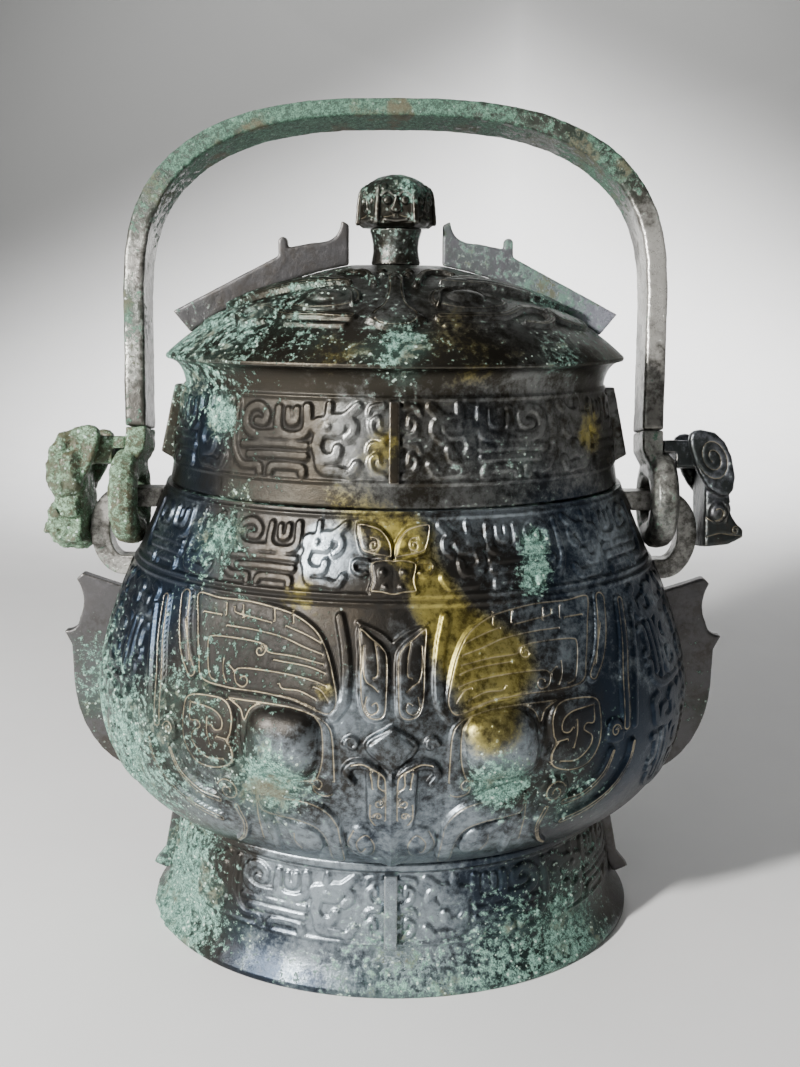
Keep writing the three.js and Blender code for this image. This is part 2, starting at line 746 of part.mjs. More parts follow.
// Horned head that looks outward and down, carried by a block on the strap's root
function beastHead() {
  const faceX = headX + headReach;
  const snoutX = faceX + snoutReach;
  const side = new THREE.Shape();
  side.moveTo(headX, headBlockLow);
  side.lineTo(headX, -headDrop);
  side.lineTo(faceX, jawSlope - headDrop);
  side.lineTo(snoutX, snoutRise - headDrop);
  side.lineTo(snoutX, snoutRise + snoutHeight - headDrop);
  side.quadraticCurveTo(faceX, muzzleHeight - headDrop, faceX, 0);
  side.quadraticCurveTo(faceX, 0.6 * headRise, headX + headCrown, headRise - headCrown);
  const skull = toSolid(plate(side, headWidth, headEdge, headCurveSegments));

  const blockX = strapX + strapThickness / 2 + seatGap;
  const blockSide = new THREE.Shape();
  blockSide.moveTo(blockX, headRise - headCrown);
  blockSide.lineTo(blockX, headBlockLow);
  blockSide.lineTo(headX + headBlockBite, headBlockLow);
  blockSide.lineTo(headX + headBlockBite, headRise - headCrown);
  const eyeRoom = new THREE.CylinderGeometry(eyeRadius + seatGap, eyeRadius + seatGap, 2 * eyeThickness, 40);
  eyeRoom.rotateZ(Math.PI / 2);
  eyeRoom.translate(eyeOuterX + seatGap - eyeThickness, 0, 0);
  const block = toSolid(plate(blockSide, headBlockDepth, headBlockEdge)).subtract(toSolid(eyeRoom));

  const hornTop = hornLow + hornHeight;
  const lobe = new THREE.Shape();
  lobe.moveTo(headX + headClearance, hornLow);
  lobe.quadraticCurveTo(
    headX + hornFront, hornLow - 0.3 * hornHeight, headX + hornFront, hornLow + 0.2 * hornHeight,
  );
  lobe.quadraticCurveTo(faceX, hornTop, headX - hornBack / 3, hornTop);
  lobe.quadraticCurveTo(headX - hornBack, hornTop, headX - 0.8 * hornBack, hornTop - 0.3 * hornHeight);
  lobe.quadraticCurveTo(
    headX - 0.45 * hornBack, hornLow + 0.2 * hornHeight, headX + headClearance, hornLow,
  );
  const hornY = (headWidth + hornThickness) / 2 - hornSink;

  return [-1, 1].reduce((head, way) => {
    const horn = plate(lobe, hornThickness, headEdge, headCurveSegments).translate(0, way * hornY, 0);
    const boss = new THREE.SphereGeometry(1, 14, 8);
    boss.scale(bossWidth / 2, bossReach, bossHeight / 2);
    boss.translate(headX + headReach / 2, (way * headWidth) / 2, -bossDrop);
    return head.add(toSolid(horn)).add(toSolid(boss));
  }, skull.add(block));
}

// Materials

const metal = (color, roughness, metalness) => (
  new THREE.MeshStandardMaterial({ color, roughness, metalness, flatShading: true })
);
const bronze = metal(0x3d3f3c, 0.4, 0.9);
const paleBronze = metal(0x767883, 0.35, 0.9);
const greenBronze = metal(0x5c7a68, 0.7, 0.5);
const blackBronze = metal(0x20241f, 0.35, 0.9);

// Assembly

const vessel = new THREE.Group();
const lid = new THREE.Group();
const bail = new THREE.Group();
bail.position.z = pivotZ;
bail.rotation.x = -degToRad(bailLeanDegrees);

function addMesh(group, name, geometry, material) {
  const mesh = new THREE.Mesh(geometry, material);
  mesh.name = name;
  group.add(mesh);
}

function place(group, name, solid, material) {
  addMesh(group, name, toGeometry(solid), material);
}

// A piece on the right and its mirror image on the left
function placePair(group, name, solid, material) {
  const geometry = toGeometry(solid);
  addMesh(group, `${name}_right`, geometry, material);
  addMesh(group, `${name}_left`, mirrored(geometry, 'x'), material);
}

// A piece on the front and its mirror image on the back
function placeFrontAndBack(group, name, solid, material) {
  const geometry = toGeometry(solid);
  addMesh(group, `${name}_front`, geometry, material);
  addMesh(group, `${name}_back`, mirrored(geometry, 'y'), material);
}

const footRidge = frontRidge(
  footProfile, footFriezeLowZ, footFriezeTopZ - seatGap, footRidgeReach, footRidgeThickness, footEnvelope,
);
const skirtRidge = frontRidge(
  skirtProfile, rimZ + skirtBandHeight, skirtTopZ - skirtFlangeMargin, skirtRidgeReach, skirtRidgeThickness,
  skirtEnvelope,
);

place(vessel, 'vessel_bowl', vesselBowl(), bronze);
place(vessel, 'ring_foot', ringFoot(), bronze);
placePair(vessel, 'body_flange', bodyFlange(), bronze);
placePair(vessel, 'foot_flange', footFlange(), bronze);
placeFrontAndBack(vessel, 'foot_ridge', footRidge, bronze);
placePair(vessel, 'lug_ring', lugRing(), paleBronze);

place(lid, 'lid_shell', lidShell(), bronze);
placePair(lid, 'lid_roof_flange', lidRoofFlange(), greenBronze);
placePair(lid, 'lid_skirt_flange', lidSkirtFlange(), bronze);
placeFrontAndBack(lid, 'lid_skirt_ridge', skirtRidge, bronze);
place(lid, 'knob_stem', knobStem(), greenBronze);
place(lid, 'knob_bud', knobBud(), bronze);

place(bail, 'bail_arch', bailArch(), greenBronze);
placePair(bail, 'bail_loop', bailEye(), greenBronze);
placePair(bail, 'beast_head', beastHead(), blackBronze);

const wineVessel = new THREE.Group();
wineVessel.add(vessel, lid, bail);

export default wineVessel;
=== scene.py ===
import math

import bpy
import numpy as np
from mathutils import Matrix, Vector


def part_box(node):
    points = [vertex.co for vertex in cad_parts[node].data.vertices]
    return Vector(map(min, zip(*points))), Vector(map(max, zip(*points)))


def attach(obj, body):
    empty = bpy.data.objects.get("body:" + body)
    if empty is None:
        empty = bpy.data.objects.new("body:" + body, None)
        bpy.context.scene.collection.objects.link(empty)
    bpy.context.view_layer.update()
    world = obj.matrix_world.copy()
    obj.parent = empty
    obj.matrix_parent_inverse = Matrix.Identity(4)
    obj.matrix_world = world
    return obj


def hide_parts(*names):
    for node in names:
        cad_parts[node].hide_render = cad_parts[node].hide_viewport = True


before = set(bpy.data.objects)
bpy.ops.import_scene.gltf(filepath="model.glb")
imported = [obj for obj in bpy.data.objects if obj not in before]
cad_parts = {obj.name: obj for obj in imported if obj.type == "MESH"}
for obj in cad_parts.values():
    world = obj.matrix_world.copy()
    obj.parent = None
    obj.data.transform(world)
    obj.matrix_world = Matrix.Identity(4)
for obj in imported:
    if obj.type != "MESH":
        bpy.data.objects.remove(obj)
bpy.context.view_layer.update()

# Bronze covered jar with cast ornament. Shapes are worked out in millimetres, in the frame of the
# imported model: +Z up, the front to -Y, the lugs on X.
MM = 0.001
DEPTH_RATIO = 0.8

# Spacing of the vertices on the turned bodies, along the profile and round the plan
PITCH = 0.56
ROOF_PITCH = 0.62
LINING_PITCH = 2
LINING_STEP = 4

# Cast ornament: the slope at a raised edge, the width and depth of an engraved line, the offset that
# stands for no line near, how far inside an edge its rim line lies, and the width of a thin raised line
EDGE = 0.7
LINE_WIDTH = 0.4
LINE_DEPTH = 0.3
NO_LINE_NEAR = 9.0
RIM = 0.95
THREAD_WIDTH = 1.2

# Friezes: how high the dragons are raised, and how much wider their bands are than the pattern says
FRIEZE_HEIGHT = 0.85
FRIEZE_WIDEN = 1.14

# Half widths of the turned bodies
BELLY = 121
NECK = 91.6
BOTTOM = 90.2
FOOT_MIDDLE = 91
SKIRT_MIDDLE = 87
EAVE = 90.2

# Levels of the turned bodies
FOOT_FRIEZE_LOW = 18
FOOT_FRIEZE_TOP = 46
FOOT_TOP = 50
BOWL_LOW = 50.3
BELLY_Z = 97.3
LEDGE_Z = 183.3
LIP_TOP = 202.3
RIM_Z = 183.6
SKIRT_TOP = 222.6
EAVE_Z = 231.9
ROOF_EDGE = 233.3
ROOF_TOP = 267.3

# Pivot and lean of the bail, and the back of its beast heads
PIVOT_Z = 174.8
BAIL_LEAN = math.radians(11)
HEAD_BACK = 124.8


# Profiles of (half width, height)

def bezier(*points, count=160):
    u = np.linspace(0, 1, count)[:, None]
    corners = [np.array(p, float) for p in points]
    while len(corners) > 1:
        corners = [(1 - u) * a + u * b for a, b in zip(corners, corners[1:])]
    return corners[0]


def resample(profile, pitch):
    """The profile at even steps of its own length, with that length t of each point."""
    profile = np.asarray(profile, float)
    length = np.r_[0, np.cumsum(np.hypot(*np.diff(profile, axis=0).T))]
    t = np.linspace(0, length[-1], int(length[-1] / pitch) + 1)
    return np.column_stack([np.interp(t, length, profile[:, 0]), np.interp(t, length, profile[:, 1])]), t


BOWL_PROFILE = np.vstack([
    bezier((BOTTOM, BOWL_LOW), (108.2, 56.4), (BELLY, 73.8), (BELLY, BELLY_Z)),
    bezier((BELLY, BELLY_Z), (BELLY, 125.7), (102.6, 154.9), (NECK, LEDGE_Z))[1:],
])
BOWL_LINING = [
    (NECK, LEDGE_Z), (85.2, LEDGE_Z), (82, LIP_TOP - 0.6), (81.4, LIP_TOP), (78.6, LIP_TOP),
    (78, LIP_TOP - 0.6), (81.4, LEDGE_Z), (87, 172), (98, 150), (112, 120), (117, 97), (113, 76),
    (100, 60), (86, 54.4), (0.5, 54.3),
]
FOOT_PROFILE = np.vstack([
    [(98.1, 0), (101.5, 0), (102.3, 0.8), (102.3, 2.6)],
    bezier((101.6, 3.4), (95, 10.5), (94, FOOT_FRIEZE_LOW)),
    [(88.5, FOOT_FRIEZE_TOP - 0.4), (89.2, FOOT_FRIEZE_TOP), (90.5, FOOT_FRIEZE_TOP + 1),
     (90.5, FOOT_TOP - 0.8), (89.8, FOOT_TOP), (84.3, FOOT_TOP), (84.3, FOOT_FRIEZE_TOP),
     (89.8, FOOT_FRIEZE_LOW), (98.1, 0)],
])
SKIRT_PROFILE = np.vstack([
    [(86, RIM_Z), (89.4, RIM_Z), (90, RIM_Z + 0.6), (83, SKIRT_TOP)],
    bezier((83, SKIRT_TOP), (84, EAVE_Z - 1), (EAVE, EAVE_Z)),
    [(EAVE + 0.3, EAVE_Z + 0.7), (EAVE, ROOF_EDGE)],
])
ROOF_PROFILE = np.vstack([
    bezier((EAVE, ROOF_EDGE), (75.8, 246.9), (48.3, 261.9), (18, ROOF_TOP)),
    [(8, ROOF_TOP)],
])
LID_LINING = [
    (8, ROOF_TOP - 4), (18, ROOF_TOP - 4.1), (46, 258), (66, 247), (79, 236), (79, SKIRT_TOP), (86, RIM_Z),
]


def quarter_angles(half_width, pitch):
    """Even steps of length round a quarter of the oval plan: the angle and the length s from the front."""
    fine = np.linspace(0, math.pi / 2, 2000)
    x = half_width * np.sin(fine)
    y = DEPTH_RATIO * half_width * np.cos(fine)
    length = np.r_[0, np.cumsum(np.hypot(np.diff(x), np.diff(y)))]
    s = np.linspace(0, length[-1], int(length[-1] / pitch) + 1)
    return np.interp(s, length, fine), s


# Noise on a lattice, the same in each run

def lattice(cell, seed):
    mixed = cell @ np.array([374761393, 668265263, 1274126177]) + seed * 974634777
    mixed = ((mixed & 0xFFFFFFFF) ^ ((mixed & 0xFFFFFFFF) >> 13)) * 1274126177
    mixed = (mixed & 0xFFFFFFFF) ^ ((mixed & 0xFFFFFFFF) >> 16)
    return (mixed & 0xFFFFFF) / float(0xFFFFFF)


def cloud(points, size, seed, octaves=3):
    """Smooth noise from 0 to 1 with features of about that size."""
    total = np.zeros(len(points))
    weight = 0
    for octave in range(octaves):
        scaled = points / size * 2 ** octave + 7.3 * octave
        cell = np.floor(scaled).astype(np.int64)
        part = scaled - cell
        part = part * part * (3 - 2 * part)
        value = np.zeros(len(points))
        for corner in np.ndindex(2, 2, 2):
            share = np.prod(np.where(corner, part, 1 - part), axis=1)
            value += share * lattice(cell + np.array(corner), seed + octave)
        total += value * 0.5 ** octave
        weight += 0.5 ** octave
    return total / weight


def smoothstep(value, low, high):
    u = np.clip((value - low) / (high - low), 0, 1)
    return u * u * (3 - 2 * u)


# Ornament

def curve(points, closed=False, steps=7):
    """A smooth line through the points."""
    points = np.asarray(points, float)
    if len(points) == 2:
        return points
    if closed:
        padded = np.vstack([points[-1], points, points[:2]])
    else:
        padded = np.vstack([2 * points[0] - points[1], points, 2 * points[-1] - points[-2]])
    u = np.linspace(0, 1, steps, endpoint=False)[:, None]
    spans = []
    for p0, p1, p2, p3 in zip(padded, padded[1:], padded[2:], padded[3:]):
        twist = 3 * (p1 - p2) + p3 - p0
        bend = 2 * p0 - 5 * p1 + 4 * p2 - p3 + u * twist
        spans.append(p1 + 0.5 * u * (p2 - p0 + u * bend))
    return np.vstack([*spans, points[:1] if closed else points[-1:]])


def spiral(centre, radius, turns, start=0.0):
    """A line that winds in from the given radius."""
    u = np.linspace(0, 1, max(int(18 * abs(turns)), 6))
    angle = math.radians(start) + 2 * math.pi * turns * u
    reach = radius * (1 - 0.82 * u)
    return np.column_stack([centre[0] + reach * np.cos(angle), centre[1] + reach * np.sin(angle)])


class Relief:
    """Cast ornament over points (s, t) of a surface: how high each is raised, and its engraved lines."""

    def __init__(self, s, t):
        self.shape = np.shape(s)
        self.s = np.asarray(s, float).ravel()
        self.t = np.asarray(t, float).ravel()
        self.raised = np.zeros(len(self.s))
        self.line = np.zeros(len(self.s))
        self.offset = np.full(len(self.s), NO_LINE_NEAR)

    def near(self, path, margin):
        """The points near a path: which, how far off, at what share of its length, and on which side."""
        low = path.min(0) - margin
        high = path.max(0) + margin
        inside = (self.s > low[0]) & (self.s < high[0]) & (self.t > low[1]) & (self.t < high[1])
        chosen = np.flatnonzero(inside)
        s, t = self.s[chosen], self.t[chosen]
        least = np.full(len(chosen), np.inf)
        along = np.zeros(len(chosen))
        side = np.ones(len(chosen))
        for k, (a, b) in enumerate(zip(path, path[1:])):
            step = b - a
            u = np.clip(((s - a[0]) * step[0] + (t - a[1]) * step[1]) / max(step @ step, 1e-9), 0, 1)
            gap = np.hypot(s - a[0] - u * step[0], t - a[1] - u * step[1])
            closer = gap < least
            least[closer] = gap[closer]
            along[closer] = (k + u[closer]) / (len(path) - 1)
            left = step[0] * (t - a[1]) > step[1] * (s - a[0])
            side[closer] = np.where(left, 1, -1)[closer]
        side[(along == 0) | (along == 1)] = 1
        return chosen, least, along, side

    def lift(self, chosen, level, cover):
        above = level > self.raised[chosen]
        self.line[chosen] *= 1 - cover * above
        self.offset[chosen[above & (cover > 0.5)]] = NO_LINE_NEAR
        self.raised[chosen] = np.maximum(self.raised[chosen], level)

    def engrave(self, chosen, offset, width=LINE_WIDTH):
        """Cuts a line where the offset, a distance with the sign of its side, is 0."""
        self.line[chosen] = np.maximum(self.line[chosen], np.exp(-(offset / width) ** 2))
        nearer = np.abs(offset) < np.abs(self.offset[chosen])
        self.offset[chosen[nearer]] = offset[nearer]

    def band(self, points, width, height, end=1.0, rim=False):
        """A raised band along a smooth line, as wide at its end as that share of its width."""
        path = curve(points)
        chosen, gap, along, _ = self.near(path, width)
        half = width / 2 * (1 + (end - 1) * along)
        cover = smoothstep(half - gap, -EDGE / 2, EDGE / 2)
        self.lift(chosen, height * cover * (1.05 - 0.05 * np.minimum(gap / half, 1) ** 2), cover)
        if rim:
            self.engrave(chosen, gap - half + RIM)

    def plate(self, points, height, rim=RIM, sharp=False, edge=EDGE):
        """A raised plate inside a closed outline."""
        path = np.vstack([points, points[:1]]).astype(float) if sharp else curve(points, closed=True)
        chosen, gap, _, _ = self.near(path, 2 * edge)
        s, t = self.s[chosen], self.t[chosen]
        inside = np.zeros(len(chosen), bool)
        for a, b in zip(path, path[1:]):
            crosses = (a[1] > t) != (b[1] > t)
            rise = b[1] - a[1]
            inside ^= crosses & (s < a[0] + (t - a[1]) * (b[0] - a[0]) / (rise if rise else 1e-9))
        depth = np.where(inside, gap, -gap)
        cover = smoothstep(depth, -edge / 2, edge / 2)
        self.lift(chosen, height * cover * (1 + 0.03 * np.minimum(np.maximum(depth, 0), 4)), cover)
        if rim:
            self.engrave(chosen, depth - rim)

    def dome(self, centre, radii, height, square=2.0, turn=0.0):
        """A rounded boss on an oval or, with a larger square, on a rounded rectangle."""
        angle = math.radians(turn)
        s = self.s - centre[0]
        t = self.t - centre[1]
        u = np.abs(s * math.cos(angle) + t * math.sin(angle)) / radii[0]
        v = np.abs(t * math.cos(angle) - s * math.sin(angle)) / radii[1]
        reach = (u ** square + v ** square) ** (1 / square)
        chosen = np.flatnonzero(reach < 1.1)
        swell = np.sqrt(np.clip(1 - reach[chosen] ** 2.4, 0, 1))
        self.lift(chosen, height * swell, smoothstep(swell, 0, 0.4))

    def groove(self, points, width=LINE_WIDTH, smooth=True):
        path = curve(points) if smooth else np.asarray(points, float)
        chosen, gap, _, side = self.near(path, 3 * width)
        self.engrave(chosen, gap * side, width)

    def grooves(self, width, *paths):
        for points in paths:
            self.groove(points, width)

    def scroll(self, centre, radius, turns, start=0.0, width=LINE_WIDTH):
        """An engraved spiral."""
        self.groove(spiral(centre, radius, turns, start), width, smooth=False)

    def keel(self, low, high, half, height):
        """A ridge with sloping sides down the middle line."""
        chosen = np.flatnonzero((np.abs(self.s) < half) & (self.t > low) & (self.t < high))
        ends = smoothstep(np.minimum(self.t[chosen] - low, high - self.t[chosen]), 0, half)
        level = height * ends * (1 - np.abs(self.s[chosen]) / half)
        self.raised[chosen] = np.maximum(self.raised[chosen], level)

    def thread(self, points, height):
        """A thin raised line."""
        self.band(points, THREAD_WIDTH, height)

    def heights(self):
        return (self.raised - LINE_DEPTH * self.line).reshape(self.shape)

    def marks(self):
        """For each point, how far it is a line, and its offset from a line on a scale from 0 to 1."""
        shares = np.column_stack([self.line, 0.5 + 0.5 * np.clip(self.offset, -1, 1)])
        return shares.reshape(*self.shape, 2)


# A dragon of the friezes in its own box, its head to the left: the width of each band, then its line
DRAGON_LENGTH = 50
DRAGON_HEIGHT = 26
DRAGONS_IN_A_ROW = 2
DRAGON_BANDS = [
    (6.8, (8.8, 17.4), (14.4, 17.2)),
    (2.6, (11.4, 20), (11.2, 25)),
    (3.4, (9, 20), (5.6, 20.6), (1.6, 24.4)),
    (3.2, (6.4, 20), (3.2, 18.6), (3, 15.6), (5, 13.4)),
    (3.6, (14.2, 14.4), (15, 10), (12.6, 6.6), (8.8, 6.8), (7.8, 9.8)),
    (3.4, (14, 7), (12.6, 2.8), (7.4, 2.2), (3.4, 1.6), (1.4, 4.6)),
    (3.2, (19, 23.6), (18.8, 16.4), (21.6, 13.8), (26.6, 13.8), (29.4, 16.4), (29.6, 23)),
    (2.8, (22.8, 22.6), (23, 19), (25.4, 18.6), (26, 22.4)),
    (3.1, (29, 14), (38, 13.6), (42.4, 16.4), (42, 21.6), (37.8, 23.6), (34.2, 21), (35, 18), (38, 18.2)),
    (2.6, (18.6, 10.4), (30, 10.6), (43, 9.8)),
    (2.8, (19, 6.8), (30, 7), (40, 6.4)),
    (2.8, (19.4, 0.6), (20.6, 3), (30, 3), (31.4, 0.6)),
    (2.6, (35, 0.6), (36, 2.8), (42, 2.6), (45.6, 6), (47.4, 12), (46.8, 24)),
]


def frieze(relief, origin, along, up):
    """A row of dragons, from the origin along one way and up the other."""
    origin, along, up = (np.array(v, float) for v in (origin, along, up))
    scale = np.hypot(*up) / DRAGON_HEIGHT

    def place(start, u, v):
        reach = (start + u / DRAGON_LENGTH) / DRAGONS_IN_A_ROW
        return origin + along * reach + up * v / DRAGON_HEIGHT

    for start in range(DRAGONS_IN_A_ROW):
        for width, *points in DRAGON_BANDS:
            path = [place(start, *point) for point in points]
            relief.band(path, FRIEZE_WIDEN * width * scale, FRIEZE_HEIGHT, end=0.88)
        relief.dome(place(start, 11.4, 17.4), (1.9 * scale, 1.9 * scale), 1.5 * FRIEZE_HEIGHT)


def flame(relief, s, low, tall):
    """Two leaf scrolls, one over the other, that stand beside a ridge."""
    half = tall / 2
    for base in (low, low + half):
        scroll = [(0, 0.08), (3.6, 0.2), (4.6, 0.5), (2.2, 0.62), (1.6, 0.4)]
        tip = [(0.4, 0.96), (4.6, 0.9), (5.8, 0.7)]
        relief.band([(s + u, base + half * v) for u, v in scroll], 2.2, FRIEZE_HEIGHT, end=0.7)
        relief.band([(s + u, base + half * v) for u, v in tip], 2.4, FRIEZE_HEIGHT, end=0.5)


def belly_mask(relief):
    """Half of the horned beast mask on the belly, from its nose round to the side flange."""
    plate_height = 1.25

    # Forehead, nose and muzzle
    relief.plate([
        (1.4, 100), (3.4, 104), (7, 107), (13, 110.6), (12.4, 100), (11.6, 86), (9.6, 80), (5.4, 78.2),
        (2, 80.4), (1.3, 88),
    ], plate_height, rim=0.9)
    relief.grooves(
        LINE_WIDTH,
        [(10.8, 104), (10.4, 96), (9.3, 92), (6.6, 90), (5, 88.4)],
        [(6.6, 105), (5.5, 99.5), (5.4, 94), (7, 93)],
        [(9, 86.6), (9.3, 83), (7.4, 80.6), (4.9, 82), (5.4, 84.6), (7, 84)],
    )
    relief.thread([(0.4, 105), (5, 108.6), (13.5, 112)], 0.8)
    relief.band([(20.4, 113.6), (17.6, 103), (16.4, 92), (17, 84), (20.4, 79)], 3.6, 1.2)
    relief.plate([(0, 76.6), (8.9, 70), (0, 61.4), (-8.9, 70)], 2.2, rim=None, sharp=True, edge=2.2)
    relief.thread([(0.6, 75.9), (8.5, 70), (0.6, 62)], 1.9)
    relief.keel(8, 66, 9, 3)
    relief.plate([
        (1.3, 44), (1.2, 57), (2.4, 61), (6, 63.4), (8.6, 62), (8.4, 52), (8.2, 44), (6.6, 39), (2.4, 39),
    ], 2.4, rim=None)
    nose_wing = [(5.6, 62), (10, 63.4), (14, 62.8), (15.6, 59.8), (13.2, 56.6)]
    relief.band(nose_wing, 3.4, 2.2, end=0.7)
    relief.grooves(
        LINE_WIDTH,
        [(2, 43), (2, 56), (3, 60), (6.4, 62.2), (10, 63.8), (13.6, 63.4)],
        [(4.2, 60.8), (4.4, 56.4), (2.4, 54.4)],
        [(7.2, 61), (6.6, 58), (6.4, 55.4)],
        [(7.2, 49.4), (7.3, 44), (5.8, 41)],
    )
    relief.scroll((4.2, 50), 2.1, 1.2, 120)
    relief.scroll((4.6, 44.8), 1.6, 1.2)
    relief.dome((10.7, 29.8), (6.3, 9.4), 2.6)
    relief.groove([
        (13.6, 37), (16, 30), (13, 22.6), (8, 23), (6.2, 30), (9, 35.6), (12.6, 32), (11.6, 26.4),
        (9.4, 29),
    ], 0.5)
    relief.band(spiral((13.6, 70.2), 2.4, 1.35), 1.6, 1.3, end=0.7)

    # Horn
    relief.plate([
        (18.6, 84), (20, 92), (23, 101), (27.4, 108), (34, 112.6), (42, 115.4), (57, 117.4),
        (72, 117.2), (84, 117), (80.4, 106), (76.4, 95), (72.6, 86.4), (61, 84.6), (48, 84.6),
        (36, 83.4), (27.6, 80.6), (21.6, 79.4),
    ], plate_height)
    relief.grooves(
        0.5,
        [(26.6, 104.4), (33, 107), (41, 109.4)],
        [(25.4, 100.4), (33, 102.6), (42, 105.4), (54, 106.8), (66, 107)],
        [(24, 94), (31, 96), (44, 97.2)],
        [(58.6, 91.4), (61.6, 93.6)],
        [(64, 95.4), (63.4, 91), (61.4, 87)],
        [(22.2, 84.4), (25, 88), (28, 89.2)],
        [(26.6, 85), (33, 87.4), (39, 87.6), (40.6, 89.4)],
        [(27, 82), (34, 84.2), (40, 85.2)],
        [(47, 110), (55, 111), (63, 112), (64, 114)],
        [(69, 110.4), (78, 110.4)],
        *([(s, 110.4), (s + 1.2, 115)] for s in (38, 45.6, 59.2, 67)),
    )
    relief.grooves(
        0.55,
        [(24.6, 97), (36, 99), (46, 99.6), (47.6, 101.6), (52, 102.7), (62, 103), (71, 102.4),
         (72.4, 100.6), (71, 94.6), (68.6, 88.4), (65.4, 87)],
        [(23, 89.6), (30, 91.6), (42, 93), (55, 93), (58.4, 91.4), (57.2, 87.6), (54.2, 86.6), (52.8, 88.4),
         (54, 90.2), (56, 89.6)],
    )
    relief.scroll((49.8, 99.8), 2.5, 1.2, 100, 0.5)
    relief.band([(90, 114.6), (86.6, 104), (82.4, 95), (77.4, 88.4)], 6.4, plate_height, end=0.8, rim=True)
    relief.groove([(86.4, 106), (82.6, 99), (79.4, 92)], 0.6)
    relief.band([(101.4, 112), (97.4, 98), (93, 84), (91, 67)], 4.6, plate_height, rim=True)
    relief.band([(108, 108), (103, 94), (98.6, 79), (96.6, 66)], 2.4, 0.8)

    # Eye
    relief.plate([
        (18.8, 56), (19, 63), (19.6, 70.5), (20.8, 75.4), (23.4, 78.4), (28, 80.4), (36, 82),
        (46, 82.6), (60, 82.6), (55, 77), (53.6, 68), (50, 58), (40, 54.6), (28, 52), (22, 49.8),
    ], 0.8, rim=None)
    relief.dome((38.2, 68.8), (13.6, 12), 6, square=3.2, turn=4)
    relief.grooves(
        LINE_WIDTH,
        [(19.5, 56.4), (19.8, 63), (20.3, 70.5), (21.4, 75), (23.8, 77.6), (28, 79.6), (36, 81.4),
         (46, 81.9), (60, 81.9)],
        [(47.4, 81.6), (50.8, 79.2), (52.7, 75.2), (54.8, 79), (59.6, 81.6)],
        [(27, 79), (24.4, 75.4), (23.6, 69), (23.9, 62.6), (26, 56.8), (30, 55.9), (37, 55.4)],
        [(30, 55.9), (25.6, 57), (23.8, 55.4), (24.9, 53.4), (26.6, 54.4)],
        [(27.2, 54.8), (26.2, 52), (23.2, 50.9), (20.4, 51.3)],
    )

    # Ear and cheek
    relief.plate([
        (56.6, 70), (56.6, 76), (59.6, 81), (66, 82.4), (77, 80.6), (78.8, 73), (77.4, 63), (72, 56.4),
        (64, 55.4), (57, 58), (55.4, 62.6), (57.4, 67),
    ], 1.4, rim=0.9)
    relief.grooves(
        0.6,
        [(75.2, 78), (66, 77.2), (61.6, 74.6), (61, 71), (63.6, 70), (65.4, 71.6)],
        [(67.4, 74), (67, 69), (65.4, 64)],
        [(59, 67.4), (63, 67.8)],
        [(56.4, 60), (57, 64), (59.4, 67.4)],
        [(60, 60.2), (66.6, 59.6), (72, 63), (73.4, 67), (70, 70), (71.4, 72), (74.6, 72), (75.2, 78)],
    )
    relief.dome((59, 48.4), (6.2, 5.8), 2)
    relief.scroll((59, 48.4), 4.6, 1.5, 20)

    # Jaw, fang and the bands behind them
    relief.plate([
        (18.2, 18), (18, 36), (18.8, 40.4), (21.2, 44.6), (25, 47.6), (30, 49.2), (36, 49.8),
        (46, 50.4), (47.8, 49), (47, 42.6), (41, 40.8), (34, 39.8), (28, 37.6), (25, 33.6), (24, 27),
        (23.8, 18),
    ], 2, rim=0.8)
    relief.plate([
        (26.2, 32.6), (29.4, 36.6), (35, 38.2), (42.4, 40.2), (39, 35.6), (37.4, 30.6), (36, 24.6),
        (30.6, 23.4), (26, 25.6),
    ], 2, rim=None, edge=1.6)
    relief.groove([(34.4, 25.4), (36.2, 29.6), (35.6, 34)])
    relief.band([(45.8, 39.4), (44.8, 32), (45.6, 20)], 4.4, 1.4, end=0.7)
    relief.groove([(48.6, 50), (49, 44), (49.7, 38), (50.2, 32), (51.4, 25)])
    relief.band([(57, 42), (55.6, 34), (59, 26), (64, 21)], 3.4, 1.3, end=0.7, rim=True)
    relief.band([(64, 43.4), (72, 45), (80, 51), (84, 59)], 3.8, 1.4, end=0.7, rim=True)
    relief.band([(66, 34), (76, 37), (86, 43), (93, 52), (95, 60)], 3.8, 1.4, end=0.7, rim=True)
    relief.plate([(81, 63), (82, 69.4), (86, 71), (89, 67), (88.4, 62)], 1.4, rim=None)
    relief.scroll((85, 66.4), 2.6, 1.3)

    # Dragons that stand on end beside the flange
    frieze(relief, (108, 116), (0, -84), (28, 0))
    frieze(relief, (167, 116), (0, -84), (-27, 0))


def neck_frieze(relief):
    """Half of the small mask at the middle of the neck, and the dragons that face it."""
    for t in (118.6, 121.6):
        relief.band([(-4, t), (60, t), (176, t)], 1.5, 0.9)
    relief.band([(-4, 149.6), (60, 149.6), (176, 149.6)], 1.3, 0.6)
    relief.plate([
        (0.6, 139.4), (3, 143.4), (7, 146.2), (15, 147.6), (16.4, 145.4), (14.8, 139.4), (12.4, 136.4),
        (4, 134.8), (0.6, 134.8),
    ], 1.8, rim=1)
    relief.scroll((8.6, 139.4), 2.8, 1.4, 60)
    relief.band([(10.6, 133.6), (16, 133.4), (16.4, 130.6), (13.4, 129), (11, 129.6)], 1.9, 1.4)
    relief.plate([(-2, 133.8), (9.4, 133.8), (9, 127), (9.8, 122.8), (5, 122), (-2, 122)], 1.5, rim=1)
    relief.dome((4.4, 129.8), (2.3, 2.2), 2.5)
    relief.dome((3.2, 124.6), (1.9, 1.6), 2.2)
    frieze(relief, (19, 123.4), (124, 0), (0, 24.6))


